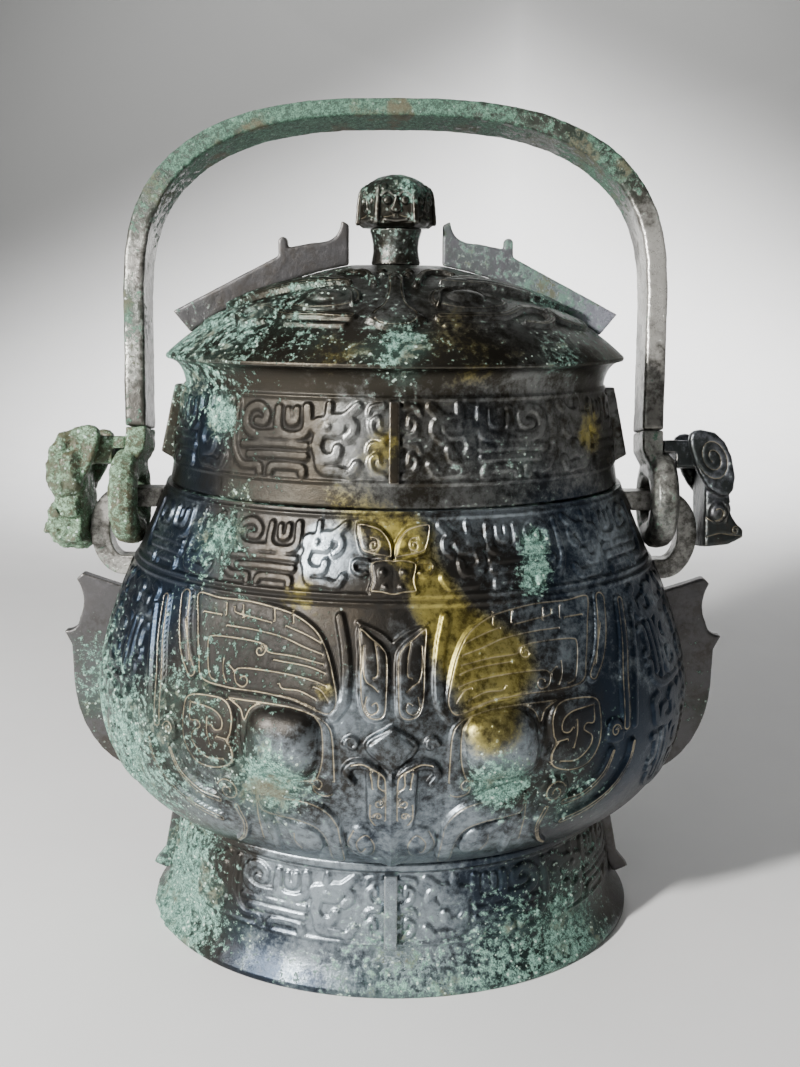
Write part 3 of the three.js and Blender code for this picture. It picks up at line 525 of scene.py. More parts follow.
def skirt_frieze(relief, low):
    for t in (low + 8.8, low + 38):
        relief.band([(-4, t), (60, t), (130, t)], 1.2, 0.6)
    flame(relief, 3.4, low + 10.4, 26)
    frieze(relief, (11.4, low + 10.4), (106, 0), (0, 26.4))


def foot_frieze(relief, low):
    for t in (low + 0.6, low + 28):
        relief.band([(-4, t), (60, t), (134, t)], 1.2, 0.6)
    flame(relief, 3.8, low + 2, 25)
    frieze(relief, (12, low + 1.8), (110, 0), (0, 25.4))


def roof_mask(relief):
    """Half of the mask on the roof: s is the angle from the front in degrees, t runs up from the eave."""
    relief.plate([
        (0, 61), (3.6, 57), (3, 45), (4, 33), (7, 26), (5, 19.6), (0, 18), (-5, 19.6), (-7, 26),
        (-4, 33), (-3, 45), (-3.6, 57),
    ], 2.2)
    relief.dome((5.6, 24), (3.2, 3.2), 2.4)
    relief.dome((0, 53.6), (2.6, 3.4), 3)
    relief.dome((7.4, 62), (2.6, 2.4), 1.5)
    relief.dome((9.6, 68), (3.4, 2.2), 1.3)
    relief.plate([(12.6, 36), (14.6, 45), (23, 49), (33, 46), (42, 37), (34, 31.4), (21, 31)], 1.1)
    relief.dome((26, 39.4), (8.4, 4.8), 3)
    relief.thread([(14, 34), (17.4, 43), (25.6, 46.6), (34, 42.6), (39, 37)], 1.9)
    relief.plate([
        (20, 52), (29, 56.6), (42, 57.6), (58, 52), (71, 43.6), (81, 34), (76.6, 29.4), (64, 37),
        (51, 43.6), (40, 48), (28, 50),
    ], 2.4)
    relief.grooves(
        0.5,
        [(27, 53.4), (42, 54), (58, 48), (76, 34)],
        [(34, 51.6), (46, 49.6), (60, 43), (74, 32.6)],
    )
    relief.band([(9.4, 51), (13, 59), (20, 65.4), (31, 66.4), (36, 62)], 3.2, 1.5, end=0.7, rim=True)
    relief.band([
        (13, 25.4), (23, 26), (34, 26.4), (44, 31), (52, 30.4), (54, 24.6), (47, 20.4), (40, 21.6),
    ], 3.7, 1.6, end=0.7, rim=True)
    relief.band([(14, 20.4), (22, 20.4), (31, 21)], 2.4, 1.2)
    relief.plate([(59, 31), (68, 27), (75, 20.4), (68, 16.6), (59, 20), (55.6, 25)], 1.5)


# Colour that follows the place on the vessel: the middle as x, y, z, then radius and strength
GREEN_SPOTS = [
    (-40, -92, 96, 10, 0.55), (36, -93, 97, 10, 0.55), (-78, -48, 166, 26, 0.1), (-66, -74, 136, 22, 0.1),
    (-98, -55, 82, 42, 0.5), (-120, -10, 100, 40, 0.5), (-45, -88, 88, 18, 0.4), (-96, -34, 10, 36, 0.8),
    (75, -58, 6, 34, 0.6), (10, -82, 3, 40, 0.4), (-80, -22, 240, 30, 0.5), (-48, -46, 244, 24, 0.3),
    (62, -8, 250, 24, 0.45), (-62, -60, 172, 14, 0.5), (-62, -45, 212, 8, 0.7), (49, -66, 171, 7, 0.8),
    (49, -70, 159, 7, 0.8), (58, -80, 84, 20, 0.45), (36, -90, 92, 10, 0.6), (84, 52, 12, 40, 0.5),
    (-20, 92, 110, 30, 0.45), (90, 50, 80, 34, 0.45), (30, 40, 250, 28, 0.4), (2, -62, 236, 9, 0.7),
    (-100, 30, 150, 30, 0.35), (7, -10, 300, 7, 0.5), (60, -52, 238, 12, 0.45), (0, 30, 333, 60, 0.8),
    (-60, 30, 330, 40, 0.6), (-104, 20, 300, 30, 0.5), (-117, 8, 250, 12, 0.7), (90, 26, 310, 26, 0.5),
]
GOLD_SPOTS = [
    (6, -72, 170, 10, 1.0), (13, -80, 157, 9, 0.9), (20, -85, 147, 10, 0.9), (27, -90, 136, 13, 0.9),
    (40, -86, 133, 14, 0.8), (-32, -78, 154, 10, 0.5), (34, -94, 113, 11, 1.1), (70, -34, 206, 11, 0.85),
    (24, -58, 238, 28, 0.48), (-22, -62, 236, 20, 0.36), (-40, 84, 140, 30, 0.7), (20, 78, 165, 18, 0.5),
    (66, 40, 206, 16, 0.6), (-4, -68, 205, 8, 0.7), (-22, -92, 124, 6, 0.6), (-60, -30, 236, 18, 0.4),
    (-14, -72, 182, 20, 0.5),
]
# Lighter bare metal. The spot at (-22, -74, 168) is a painted highlight on the neck, and the spot at (112,
# 6, 250) is painted light on the right arm of the bail
PALE_SPOTS = [
    (-38, -93, 106, 13, 0.5), (38, -93, 106, 13, 0.5), (0, -94, 112, 24, 0.35), (50, -84, 138, 22, 0.35),
    (0, -40, 256, 30, 0.35), (0, -80, 34, 40, 0.35), (14, -96, 74, 18, 0.3), (40, -90, 66, 20, 0.25),
    (-64, -72, 76, 30, 0.3), (78, -52, 168, 26, 0.2), (-22, -74, 168, 11, 0.9), (24, -72, 186, 22, 0.35),
    (-24, -86, 74, 18, 0.35), (-40, -74, 34, 24, 0.3), (-60, -46, 250, 14, 0.3), (-12, -68, 206, 16, 0.6),
    (0, 84, 60, 46, 0.5), (-70, 60, 150, 34, 0.4), (-50, -76, 6, 44, 0.1), (20, -82, 4, 50, 0.32),
    (70, -60, 4, 30, 0.15), (-18, -92, 118, 9, 0.5), (-50, -82, 134, 30, -0.6), (-46, -58, 206, 26, -0.4),
    (60, -60, 34, 36, -0.3), (-50, -66, 164, 14, -0.3), (40, -44, 206, 24, 0.4), (50, -30, 250, 24, 0.4),
    (-116, 0, 246, 34, 0.35), (112, 6, 250, 44, 0.65), (-90, 24, 306, 24, 0.25), (-70, -56, 30, 30, -0.35),
    (-90, -40, 60, 26, -0.25),
]
GRIME_SPOTS = [
    (-46, -84, 136, 28, 0.7), (-48, -60, 206, 26, 0.6), (-66, -74, 120, 20, 0.4),
    (-128, -4, 118, 30, 0.35), (-60, -62, 170, 18, 0.45), (-60, 60, 205, 30, 0.3), (50, 76, 130, 30, 0.4),
    (-60, -60, 26, 30, 0.25),
]
BLUE_SPOTS = [
    (70, -55, 168, 34, 0.85), (100, -50, 130, 40, 0.85), (96, -60, 95, 30, 0.5), (-85, -48, 162, 30, 0.85),
    (-100, -40, 130, 30, 0.7), (0, -90, 62, 36, 0.4), (40, -80, 36, 56, 0.6), (-46, -74, 10, 40, 0.6),
    (-74, -38, 210, 24, 0.7), (30, -64, 212, 18, 0.5), (60, 60, 150, 50, 0.7), (-70, 60, 100, 50, 0.6),
    (0, 70, 30, 50, 0.5),
]


def spots(points, blobs):
    total = np.zeros(len(points))
    for *middle, radius, strength in blobs:
        total += strength * np.exp(-((points - np.array(middle)) ** 2).sum(1) / radius ** 2)
    return total


def points_of(mesh):
    """The places of a mesh's vertices and their normals."""
    count = len(mesh.vertices)
    at = np.empty(count * 3)
    normal = np.empty(count * 3)
    mesh.vertices.foreach_get("co", at)
    mesh.vertices.foreach_get("normal", normal)
    return at.reshape(-1, 3) / MM, normal.reshape(-1, 3)


def bent(mesh):
    """How each vertex stands proud of its neighbours, above 0 on an edge and below 0 in a hollow."""
    at, normal = points_of(mesh)
    count = len(at)
    ends = np.empty(len(mesh.edges) * 2, np.int32)
    mesh.edges.foreach_get("vertices", ends)
    a, b = ends.reshape(-1, 2).T
    step = at[a] - at[b]
    reach = np.maximum((step ** 2).sum(1), 1e-6)
    degree = np.bincount(a, minlength=count) + np.bincount(b, minlength=count)
    degree = np.maximum(degree, 1)
    proud = np.bincount(a, (step * normal[a]).sum(1) / reach, count)
    proud -= np.bincount(b, (step * normal[b]).sum(1) / reach, count)
    proud /= degree
    for _ in range(2):
        spread = np.bincount(a, proud[b], count) + np.bincount(b, proud[a], count)
        proud = 0.5 * proud + 0.5 * spread / degree
    return at, proud


def tint(piece, marks, seed, green=0.0, pale=0.0):
    """Stores what the finish follows.

    tone holds green, gold, pale and blue, where pale is lighter bare metal and in places a painted
    highlight; form holds edge wear, which is also a painted highlight on edges, dirt, lines and the
    offset from the middle of the nearest line.
    """
    mesh = piece.data
    at, proud = bent(mesh)
    broad = cloud(at, 46, seed) - 0.5
    small = cloud(at, 11, seed + 5) - 0.5
    tone = np.ones((len(at), 4), np.float32)
    tone[:, 0] = 0.14 + green + spots(at, GREEN_SPOTS) + 0.5 * broad + 0.3 * small
    tone[:, 1] = spots(at, GOLD_SPOTS) + 0.25 * broad
    tone[:, 2] = 0.12 + pale + spots(at, PALE_SPOTS) - 0.5 * broad + 0.3 * small
    tone[:, 3] = spots(at, BLUE_SPOTS) + 0.4 * broad
    form = np.ones((len(at), 4), np.float32)
    # Convex edges: worn metal, and a painted highlight where edges catch the light
    form[:, 0] = smoothstep(proud, 0.06, 0.42)
    form[:, 1] = smoothstep(-proud, 0.04, 0.36) + spots(at, GRIME_SPOTS)
    form[:, 2:] = (0, 1) if marks is None else marks
    for name, values in (("tone", tone), ("form", form)):
        layer = mesh.color_attributes.new(name, "FLOAT_COLOR", "POINT")
        layer.data.foreach_set("color", np.clip(values, 0, 1).ravel())


# Meshes

def mesh_object(name, vertices, faces):
    mesh = bpy.data.meshes.new(name)
    mesh.vertices.add(len(vertices))
    mesh.vertices.foreach_set("co", (vertices * MM).astype(np.float32).ravel())
    mesh.loops.add(faces.size)
    mesh.loops.foreach_set("vertex_index", faces.astype(np.int32).ravel())
    mesh.polygons.add(len(faces))
    mesh.polygons.foreach_set("loop_start", np.arange(0, faces.size, faces.shape[1], dtype=np.int32))
    mesh.update(calc_edges=True)
    mesh.shade_smooth()
    piece = bpy.data.objects.new(name, mesh)
    bpy.context.scene.collection.objects.link(piece)
    return piece


def grid_faces(rows, width, closed=True):
    """Faces between the points of a grid, joined up round its rows if closed."""
    index = np.arange(rows * width).reshape(rows, width)
    after = np.roll(index, -1, axis=1)
    if not closed:
        index, after = index[:, :-1], after[:, :-1]
    return np.stack([index[:-1], after[:-1], after[1:], index[1:]], axis=-1).reshape(-1, 4)


def settle(piece, body, nodes, slot, material, marks=None, **tones):
    """Gives the piece its tints, its finish and its body, and hides the nodes that it stands for."""
    tint(piece, marks, **tones)
    piece.data.materials.clear()
    piece.data.materials.append(material)
    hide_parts(*nodes)
    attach(piece, body)


def plan(angles):
    """Unit plan of the whole oval from the angles of a quarter, and the quarter column of each column."""
    count = len(angles) - 1
    forward = np.arange(count)
    columns = np.r_[forward, forward[::-1] + 1, forward, forward[::-1] + 1, 0]
    side = np.r_[np.repeat([1, 1, -1, -1], count), 1]
    front = np.r_[np.repeat([-1, 1, 1, -1], count), -1]
    return side * np.sin(angles[columns]), DEPTH_RATIO * front * np.cos(angles[columns]), columns


def shell(name, profile, angles, first, last, heights=None, marks=None):
    """A turned sheet between two quarters of the plan, raised along its normals by a quarter's heights."""
    count = len(angles) - 1
    x, y, columns = plan(angles)
    chosen = slice(first * count, last * count + 1)
    x, y, columns = x[chosen], y[chosen], columns[chosen]
    profile = np.asarray(profile, float)
    at = np.stack([
        profile[:, :1] * x, profile[:, :1] * y, np.repeat(profile[:, 1:], len(x), axis=1),
    ], axis=-1)
    if heights is not None:
        normal = np.cross(np.gradient(at, axis=1), np.gradient(at, axis=0))
        normal /= np.maximum(np.linalg.norm(normal, axis=-1, keepdims=True), 1e-9)
        at = at + normal * heights[:, columns, None]
    closed = last - first == 4
    if closed:
        at = at[:, :-1]
        columns = columns[:-1]
    piece = mesh_object(name, at.reshape(-1, 3), grid_faces(*at.shape[:2], closed))
    return piece, None if marks is None else marks[:, columns].reshape(-1, marks.shape[-1])


def uneven(points, size, reach, seed):
    """The small unevenness of a cast and corroded skin."""
    return reach * (cloud(points, size, seed) - 0.5)


def skin_copy(name, node, voxel, rounds):
    """A finer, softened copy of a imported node, with its vertices and normals."""
    piece = bpy.data.objects.new(name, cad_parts[node].data.copy())
    bpy.context.scene.collection.objects.link(piece)
    remesh = piece.modifiers.new("even_skin", "REMESH")
    remesh.mode = "VOXEL"
    remesh.voxel_size = voxel * MM
    soften = piece.modifiers.new("soft_edges", "SMOOTH")
    soften.iterations = rounds
    graph = bpy.context.evaluated_depsgraph_get()
    mesh = bpy.data.meshes.new_from_object(piece.evaluated_get(graph))
    piece.modifiers.clear()
    piece.data = mesh
    mesh.name = name
    mesh.shade_smooth()
    return piece, *points_of(mesh)


def raise_skin(piece, at, normal, reach):
    """Moves each vertex along its normal."""
    at = at + normal * reach[:, None]
    piece.data.vertices.foreach_set("co", (at * MM).astype(np.float32).ravel())
    piece.data.update()


def encrust(piece, middle, radius, reach):
    """Lumps of corrosion round one place of a piece, above the floor."""
    at, normal = points_of(piece.data)
    near = np.exp(-((at - np.array(middle)) ** 2).sum(1) / radius ** 2) * smoothstep(at[:, 2], 0.5, 2.5)
    lumps = smoothstep(cloud(at, 5, 61, 2), 0.4, 0.75) + 0.4 * uneven(at, 1.4, 1, 62)
    raise_skin(piece, at, normal, reach * near * lumps)


# Finish

class Finish:
    """Writes one node tree; each call adds a node and gives its output."""

    def __init__(self, name):
        self.material = bpy.data.materials.new(name)
        self.material.use_nodes = True
        self.tree = self.material.node_tree
        self.tree.nodes.clear()
        self.place = self.node("ShaderNodeTexCoord").outputs["Object"]

    def node(self, kind, inputs=None, **settings):
        """A new node with these settings, and with a value or a link at each named input."""
        made = self.tree.nodes.new(kind)
        for key, value in settings.items():
            setattr(made, key, value)
        for key, value in (inputs or {}).items():
            if isinstance(value, bpy.types.NodeSocket):
                self.tree.links.new(value, made.inputs[key])
            else:
                made.inputs[key].default_value = value
        return made

    def noise(self, size, detail=4.0, rough=0.6):
        inputs = {"Vector": self.place, "Scale": 1 / (size * MM), "Detail": detail, "Roughness": rough}
        return self.node("ShaderNodeTexNoise", inputs).outputs["Fac"]

    def cells(self, size):
        """Distance to the nearest of points scattered about that size apart, as a share of the size."""
        inputs = {"Vector": self.place, "Scale": 1 / (size * MM)}
        return self.node("ShaderNodeTexVoronoi", inputs).outputs["Distance"]

    def axes(self):
        return self.node("ShaderNodeSeparateXYZ", {"Vector": self.place}).outputs

    def attribute(self, name):
        """The four numbers of a colour attribute."""
        read = self.node("ShaderNodeAttribute", attribute_name=name)
        split = self.node("ShaderNodeSeparateColor", {"Color": read.outputs["Color"]})
        return *split.outputs, read.outputs["Alpha"]

    def math(self, operation, a, b):
        return self.node("ShaderNodeMath", {0: a, 1: b}, operation=operation).outputs[0]

    def add(self, *terms):
        """Sum of (value, weight) pairs."""
        total = None
        for value, weight in terms:
            part = self.math("MULTIPLY", value, weight)
            total = part if total is None else self.math("ADD", total, part)
        return total

    def step(self, value, low, high, top=1.0):
        """A smooth rise from 0 at the low value to the top at the high one."""
        inputs = {"Value": value, "From Min": low, "From Max": high, "To Max": top}
        return self.node("ShaderNodeMapRange", inputs, interpolation_type="SMOOTHSTEP").outputs["Result"]

    def mix(self, share, a, b):
        """Numbers or colours, which have sockets of their own in the node."""
        colour = isinstance(a, tuple) or isinstance(b, tuple) or getattr(a, "type", "") == "RGBA"
        first, second, result = (6, 7, 2) if colour else (2, 3, 0)
        a, b = ((*value, 1) if isinstance(value, tuple) else value for value in (a, b))
        inputs = {0: share, first: a, second: b}
        return self.node("ShaderNodeMix", inputs, data_type="RGBA" if colour else "FLOAT").outputs[result]

    def surface(self, inputs):
        """Ends the tree with a shader that has these inputs, and gives the material."""
        shader = self.node("ShaderNodeBsdfPrincipled", inputs)
        self.node("ShaderNodeOutputMaterial", {"Surface": shader.outputs["BSDF"]})
        return self.material


def aged_bronze(
    name, dark, metal, malachite=(0.028, 0.075, 0.06), bloom=(0.24, 0.42, 0.34), polish=0.92,
    line_fill_and_glint=0.78, dust=1.0, bump=0.55,
):
    """Bronze in layers: skin, sheen, brown, tarnish, grime, worn edges that also carry a painted highlight,
    pale lines that also carry a painted glint, and green growth.
    """
    paint = Finish(name)
    green, gold, pale, blue = paint.attribute("tone")
    edge_wear_and_glint, dirt, line, offset = paint.attribute("form")
    broad = paint.noise(16, 5)
    small = paint.noise(2.8, 6, 0.68)
    fine = paint.noise(0.6, 3, 0.7)
    speck = paint.noise(1.3, 3, 0.6)

    night = paint.step(paint.add((blue, 1.0), (broad, 0.5), (small, 0.4)), 0.6, 1.2, 0.9)
    skin = paint.mix(night, dark, (0.017, 0.028, 0.046))
    sheen = paint.step(paint.add((pale, 0.9), (broad, 0.8), (small, 0.9)), 1.0, 1.5)
    colour = paint.mix(sheen, skin, metal)
    brown = paint.step(paint.add((small, 0.6), (broad, 0.6), (blue, -0.25), (pale, -0.4)), 0.44, 0.72, 0.7)
    colour = paint.mix(brown, colour, (0.034, 0.027, 0.019))
    golden = paint.step(paint.add((gold, 1.0), (broad, 0.6), (small, 0.7)), 1.0, 1.5, 0.85)
    patches = paint.step(paint.add((small, 0.7), (broad, 0.4)), 0.42, 0.66)
    tarnish = paint.mix(patches, (0.1, 0.08, 0.02), (0.4, 0.335, 0.08))
    colour = paint.mix(golden, colour, tarnish)

    grime = paint.step(paint.add((dirt, 1.0), (small, 0.5)), 0.4, 1.1, 0.8)
    colour = paint.mix(grime, colour, (0.014, 0.013, 0.012))
    # Convex edges painted lighter: worn metal, and a painted highlight along the edges
    edge = paint.step(paint.add((edge_wear_and_glint, 1.0), (small, 0.8), (broad, 0.5)), 0.95, 1.75, 0.3)
    colour = paint.mix(edge, colour, (0.4, 0.38, 0.34))
    # Engraved lines painted pale tan: a pale fill, and a painted glint for the light that their edges catch
    away = paint.math("ABSOLUTE", paint.math("SUBTRACT", offset, 0.5), 0.0)
    thin = paint.math("MULTIPLY", paint.step(away, 0.17, 0.07), paint.step(line, 0.12, 0.4))
    broken = paint.step(paint.add((small, 0.7), (broad, 0.7)), 0.48, 0.9, line_fill_and_glint)
    lines = paint.math("MULTIPLY", thin, broken)
    colour = paint.mix(lines, colour, (0.52, 0.44, 0.29))

    coverage = paint.add((green, 0.5), (small, 1.0), (fine, 0.25), (dirt, 0.08))
    stain = paint.step(paint.add((green, 0.7), (broad, 0.6), (speck, 0.3)), 0.62, 1.0, 0.6)
    colour = paint.mix(stain, colour, malachite)
    growth = paint.step(coverage, 0.86, 1.0)
    blooming = paint.step(paint.add((small, 0.5), (fine, 0.8), (speck, 0.4)), 0.72, 1.05)
    leaf = paint.mix(blooming, malachite, bloom)
    earthy = paint.step(paint.add((broad, 1.0), (fine, 0.25)), 0.64, 0.76, 0.75)
    leaf = paint.mix(earthy, leaf, (0.085, 0.065, 0.035))
    colour = paint.mix(growth, colour, leaf)
    dotted = paint.step(paint.add((green, 0.8), (broad, 0.7), (speck, 0.3)), 0.68, 0.9, dust)
    dots = paint.step(paint.add((paint.cells(2.6), 1.0), (small, -0.8)), -0.2, -0.3)
    powder = paint.math("MULTIPLY", dotted, dots)
    colour = paint.mix(powder, colour, (0.42, 0.54, 0.46))

    matt = paint.math("MAXIMUM", growth, powder)
    metallic = paint.mix(paint.math("MAXIMUM", grime, stain), polish, 0.5 * polish)
    metallic = paint.mix(matt, metallic, 0.0)
    texture = paint.add((small, 0.24), (fine, 0.16), (grime, 0.3), (brown, 0.06), (sheen, -0.08))
    rough = paint.mix(matt, paint.math("ADD", texture, 0.17), 0.8)

    relief = paint.add((fine, 0.3), (small, 0.5), (growth, 0.6), (powder, 0.5), (thin, -0.7))
    bumped = paint.node("ShaderNodeBump", {"Strength": bump, "Distance": 0.4 * MM, "Height": relief})
    return paint.surface({
        "Base Color": colour,
        "Metallic": metallic,
        "Roughness": rough,
        "Specular IOR Level": paint.mix(grime, 0.5, 0.1),
        "Normal": bumped.outputs["Normal"],
    })


body_bronze = aged_bronze("body_bronze", dark=(0.03, 0.028, 0.025), metal=(0.25, 0.29, 0.32))
lid_bronze = aged_bronze("lid_bronze", dark=(0.03, 0.027, 0.021), metal=(0.2, 0.205, 0.2), line_fill_and_glint=0.3)
bail_bronze = aged_bronze(
    "bail_bronze", dark=(0.055, 0.052, 0.045), metal=(0.46, 0.45, 0.42),
    malachite=(0.02, 0.045, 0.032), bloom=(0.1, 0.21, 0.145), polish=0.6, dust=0.2,
)
flange_bronze = aged_bronze(
    "flange_bronze", dark=(0.075, 0.073, 0.075), metal=(0.29, 0.29, 0.33), polish=0.7,
)
mint_bronze = aged_bronze(
    "mint_bronze", dark=(0.12, 0.115, 0.13), metal=(0.3, 0.3, 0.36),
    malachite=(0.075, 0.125, 0.105), bloom=(0.12, 0.215, 0.17), polish=0.5, dust=0.3, bump=0.35,
)
head_bronze = aged_bronze(
    "head_bronze", dark=(0.04, 0.045, 0.045), metal=(0.32, 0.34, 0.4), line_fill_and_glint=0.3,
)
crust_bronze = aged_bronze(
    "crust_bronze", dark=(0.09, 0.075, 0.045), metal=(0.16, 0.17, 0.12),
    malachite=(0.05, 0.075, 0.04), bloom=(0.22, 0.36, 0.24), polish=0.1, bump=0.8,
)


# Turned bodies

def build_lining(name, outline, half_width, body, node, material, green, seed):
    """A plain turned sheet where a body has no ornament."""
    profile, _ = resample(outline, LINING_PITCH)
    angles, _ = quarter_angles(half_width, LINING_STEP)
    piece, _ = shell(name, profile, angles, 0, 4)
    settle(piece, body, [node], "bronze", material, green=green, seed=seed)


def flange_seat(grid_s):
    """A low step where a side flange stands."""
    return 0.35 * smoothstep(grid_s, grid_s.max() - 4, grid_s.max() - 2.6)


def build_bowl():
    profile, t = resample(BOWL_PROFILE, PITCH)
    angles, s = quarter_angles(BELLY, PITCH)
    grid_s, grid_t = np.meshgrid(s, t)
    relief = Relief(grid_s, grid_t)
    belly_mask(relief)
    neck_frieze(relief)
    away_from_lug = smoothstep(s[-1] - grid_s, 14, 30) + smoothstep(-grid_t, -124, -116)
    heights = relief.heights() * np.clip(away_from_lug, 0, 1)
    heights += flange_seat(grid_s) * smoothstep(-grid_t, -112, -108)
    names = ("front_right", "back_right", "back_left", "front_left")
    for quarter, name in enumerate(names):
        piece, seen = shell(f"bowl_{name}", profile, angles, quarter, quarter + 1, heights, relief.marks())
        settle(piece, "vessel", ["vessel_bowl"], "bronze", body_bronze, seen, seed=11)
    build_lining("bowl_lining", BOWL_LINING, BELLY, "vessel", "vessel_bowl", body_bronze, 0.25, 12)
    bottom = [(0.5, BOWL_LOW), (BOTTOM, BOWL_LOW)]
    build_lining("bowl_bottom", bottom, BELLY, "vessel", "vessel_bowl", body_bronze, 0.3, 13)


def build_foot():
    profile, t = resample(FOOT_PROFILE, PITCH)
    angles, s = quarter_angles(FOOT_MIDDLE, PITCH)
    grid_s, grid_t = np.meshgrid(s, t)
    outside = slice(len(t) // 2)
    low = float(np.interp(FOOT_FRIEZE_LOW, profile[outside, 1], t[outside]))
    relief = Relief(grid_s, grid_t)
    foot_frieze(relief, low)
    heights = relief.heights() + flange_seat(grid_s) * (np.abs(grid_t - low - 12) < 18)
    for first, name in ((0, "right"), (2, "left")):
        piece, seen = shell(f"ring_foot_{name}", profile, angles, first, first + 2, heights, relief.marks())
        if name == "left":
            encrust(piece, middle=(-96, -34, 12), radius=24, reach=1.9)
        settle(piece, "vessel", ["ring_foot"], "bronze", body_bronze, seen, seed=14)


def build_lid():
    profile, t = resample(SKIRT_PROFILE, PITCH)
    angles, s = quarter_angles(SKIRT_MIDDLE, PITCH)
    relief = Relief(*np.meshgrid(s, t))
    skirt_frieze(relief, float(np.interp(RIM_Z + 0.6, profile[:8, 1], t[:8])))
    piece, seen = shell("lid_skirt_cast", profile, angles, 0, 4, relief.heights(), relief.marks())
    settle(piece, "lid", ["lid_shell"], "bronze", lid_bronze, seen, green=0.05, seed=15)

    profile, t = resample(ROOF_PROFILE, ROOF_PITCH)
    angles, _ = quarter_angles(EAVE, ROOF_PITCH)
    relief = Relief(*np.meshgrid(np.degrees(angles), t))
    roof_mask(relief)
    heights = relief.heights()
    for first, name in ((0, "right"), (2, "left")):
        piece, seen = shell(f"lid_roof_{name}", profile, angles, first, first + 2, heights, relief.marks())
        settle(piece, "lid", ["lid_shell"], "bronze", lid_bronze, seen, green=0.08, seed=16)
    build_lining("lid_lining", LID_LINING, SKIRT_MIDDLE, "lid", "lid_shell", lid_bronze, 0.2, 17)


# Pieces cast on or hung on

def build_plain(node, body, slot, material, seed, voxel=0.55, rounds=4, swell=0.25, **tones):
    """A copy of a node with worn edges and an uneven skin."""
    piece, at, normal = skin_copy(f"{node}_cast", node, voxel, rounds)
    reach = uneven(at, 5, swell, seed) + uneven(at, 1.6, 0.4 * swell, seed + 1)
    raise_skin(piece, at, normal, reach)
    settle(piece, body, [node], slot, material, seed=seed, **tones)


def bail_local(at):
    """Points of the leaning bail turned upright about its pivot: x, y and the height over the pivot."""
    c, s = math.cos(BAIL_LEAN), math.sin(BAIL_LEAN)
    y, z = at[:, 1], at[:, 2] - PIVOT_Z
    return at[:, 0], c * y - s * z, s * y + c * z


def crust(at, out):
    """Lumps of corrosion, kept off the side that faces the vessel."""
    lumps = smoothstep(cloud(at, 9, 34, 2), 0.3, 0.75) * 3.2
    lumps += uneven(at, 3, 2.4, 35) + uneven(at, 1.2, 0.9, 36)
    return np.maximum(lumps, -0.6) * smoothstep(out, -1, 3)


def build_head(side, name, crusted, **tones):
    """Horned beast head, with scrolled horns, round eyes, a muzzle and a brow."""
    node = f"beast_head_{name}"
    piece, at, normal = skin_copy(f"{node}_cast", node, 0.42, 4)
    x, y, z = bail_local(at)
    out = side * x - HEAD_BACK
    _, normal_y, _ = bail_local(normal + [0, 0, PIVOT_Z])
    cheek = Relief(out, z)
    horn = spiral((0, 0), 1, 2.1, 200)
    cheek.groove(np.column_stack([
        2.2 + 6.6 * horn[:, 0] - 1.8 * horn[:, 1], 16.6 + 9 * horn[:, 1],
    ]), 0.55, smooth=False)
    cheek.groove([(1, -15), (6, -13.6), (10, -14), (15, -14.6)], 0.6)
    cheek.scroll((12.6, -12.2), 1.7, 1.2, 40)
    cheek.scroll((4.7, -5), 5.2, 0.9, 150, 0.45)
    cheek.plate([(8, -1), (9.6, -4), (9, -9), (7.6, -7)], 0.8, rim=None)
    face = Relief(y, z)
    face.band([(0, 20), (0, 6), (0, -14)], 3.4, 0.9, end=1.5, rim=True)
    for way in (-1, 1):
        face.dome((way * 5.4, -3), (2.4, 2.6), 1.4)
        face.band([(way * 2.6, 1.4), (way * 6, 2.6), (way * 9, -0.6)], 1.6, 0.8)
        face.scroll((way * 6, 12), 3.6, 1.6, 90, 0.5)
    flat_side = smoothstep(np.abs(normal_y), 0.55, 0.8)
    front = smoothstep(side * normal[:, 0], 0.55, 0.8)
    marks = np.where((front > flat_side)[:, None], face.marks(), cheek.marks())
    marks[:, 0] *= np.maximum(front, flat_side)
    reach = cheek.heights() * flat_side + face.heights() * front
    if crusted:
        reach = crust(at, out)
        marks[:, 0] = 0
    reach += uneven(at, 4, 0.3, 31) + uneven(at, 1.3, 0.14, 32)
    raise_skin(piece, at, normal, reach)
    material = crust_bronze if crusted else head_bronze
    settle(piece, "bail", [node], "black_bronze", material, marks, seed=33, **tones)


def build_bud():
    """Six-sided bud with a small animal mask on each side and a rib on each corner."""
    piece, at, normal = skin_copy("knob_bud_cast", "knob_bud", 0.3, 3)
    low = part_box("knob_bud")[0].z / MM
    angle = np.arctan2(at[:, 1], at[:, 0])
    facet = np.round((angle + math.pi / 2) / (math.pi / 3)) * (math.pi / 3) - math.pi / 2
    across = at[:, 1] * np.cos(facet) - at[:, 0] * np.sin(facet)
    mask = Relief(across, at[:, 2] - low)
    for way in (-1, 1):
        mask.dome((way * 3.3, 9.6), (1.7, 1.7), 1.3)
        mask.band([(way * 0.9, 11.4), (way * 3.2, 12.9), (way * 5.6, 11.6)], 1.1, 0.7)
        mask.band([(way * 6.6, 15), (way * 6.9, 8), (way * 7.2, 2)], 1.3, 0.9)
        mask.dome((way * 4.6, 14.6), (1.3, 1.6), 0.8)
        mask.groove([(way * 1.2, 4.4), (way * 3, 3.8), (way * 4.6, 3.6)], 0.3)
    mask.plate([(0, 12), (1.1, 8.6), (2, 6.2), (0, 5.2), (-2, 6.2), (-1.1, 8.6)], 1.1, rim=None)
    mask.band([(-4, 2.6), (0, 2.2), (4, 2.6)], 1, 0.6)
    upright = smoothstep(-np.abs(normal[:, 2]), -0.97, -0.75)
    reach = mask.heights() * upright + uneven(at, 1.8, 0.25, 41)
    raise_skin(piece, at, normal, reach)
    marks = mask.marks()
    marks[:, 0] *= upright
    settle(piece, "lid", ["knob_bud"], "bronze", lid_bronze, marks, green=-0.12, seed=42)


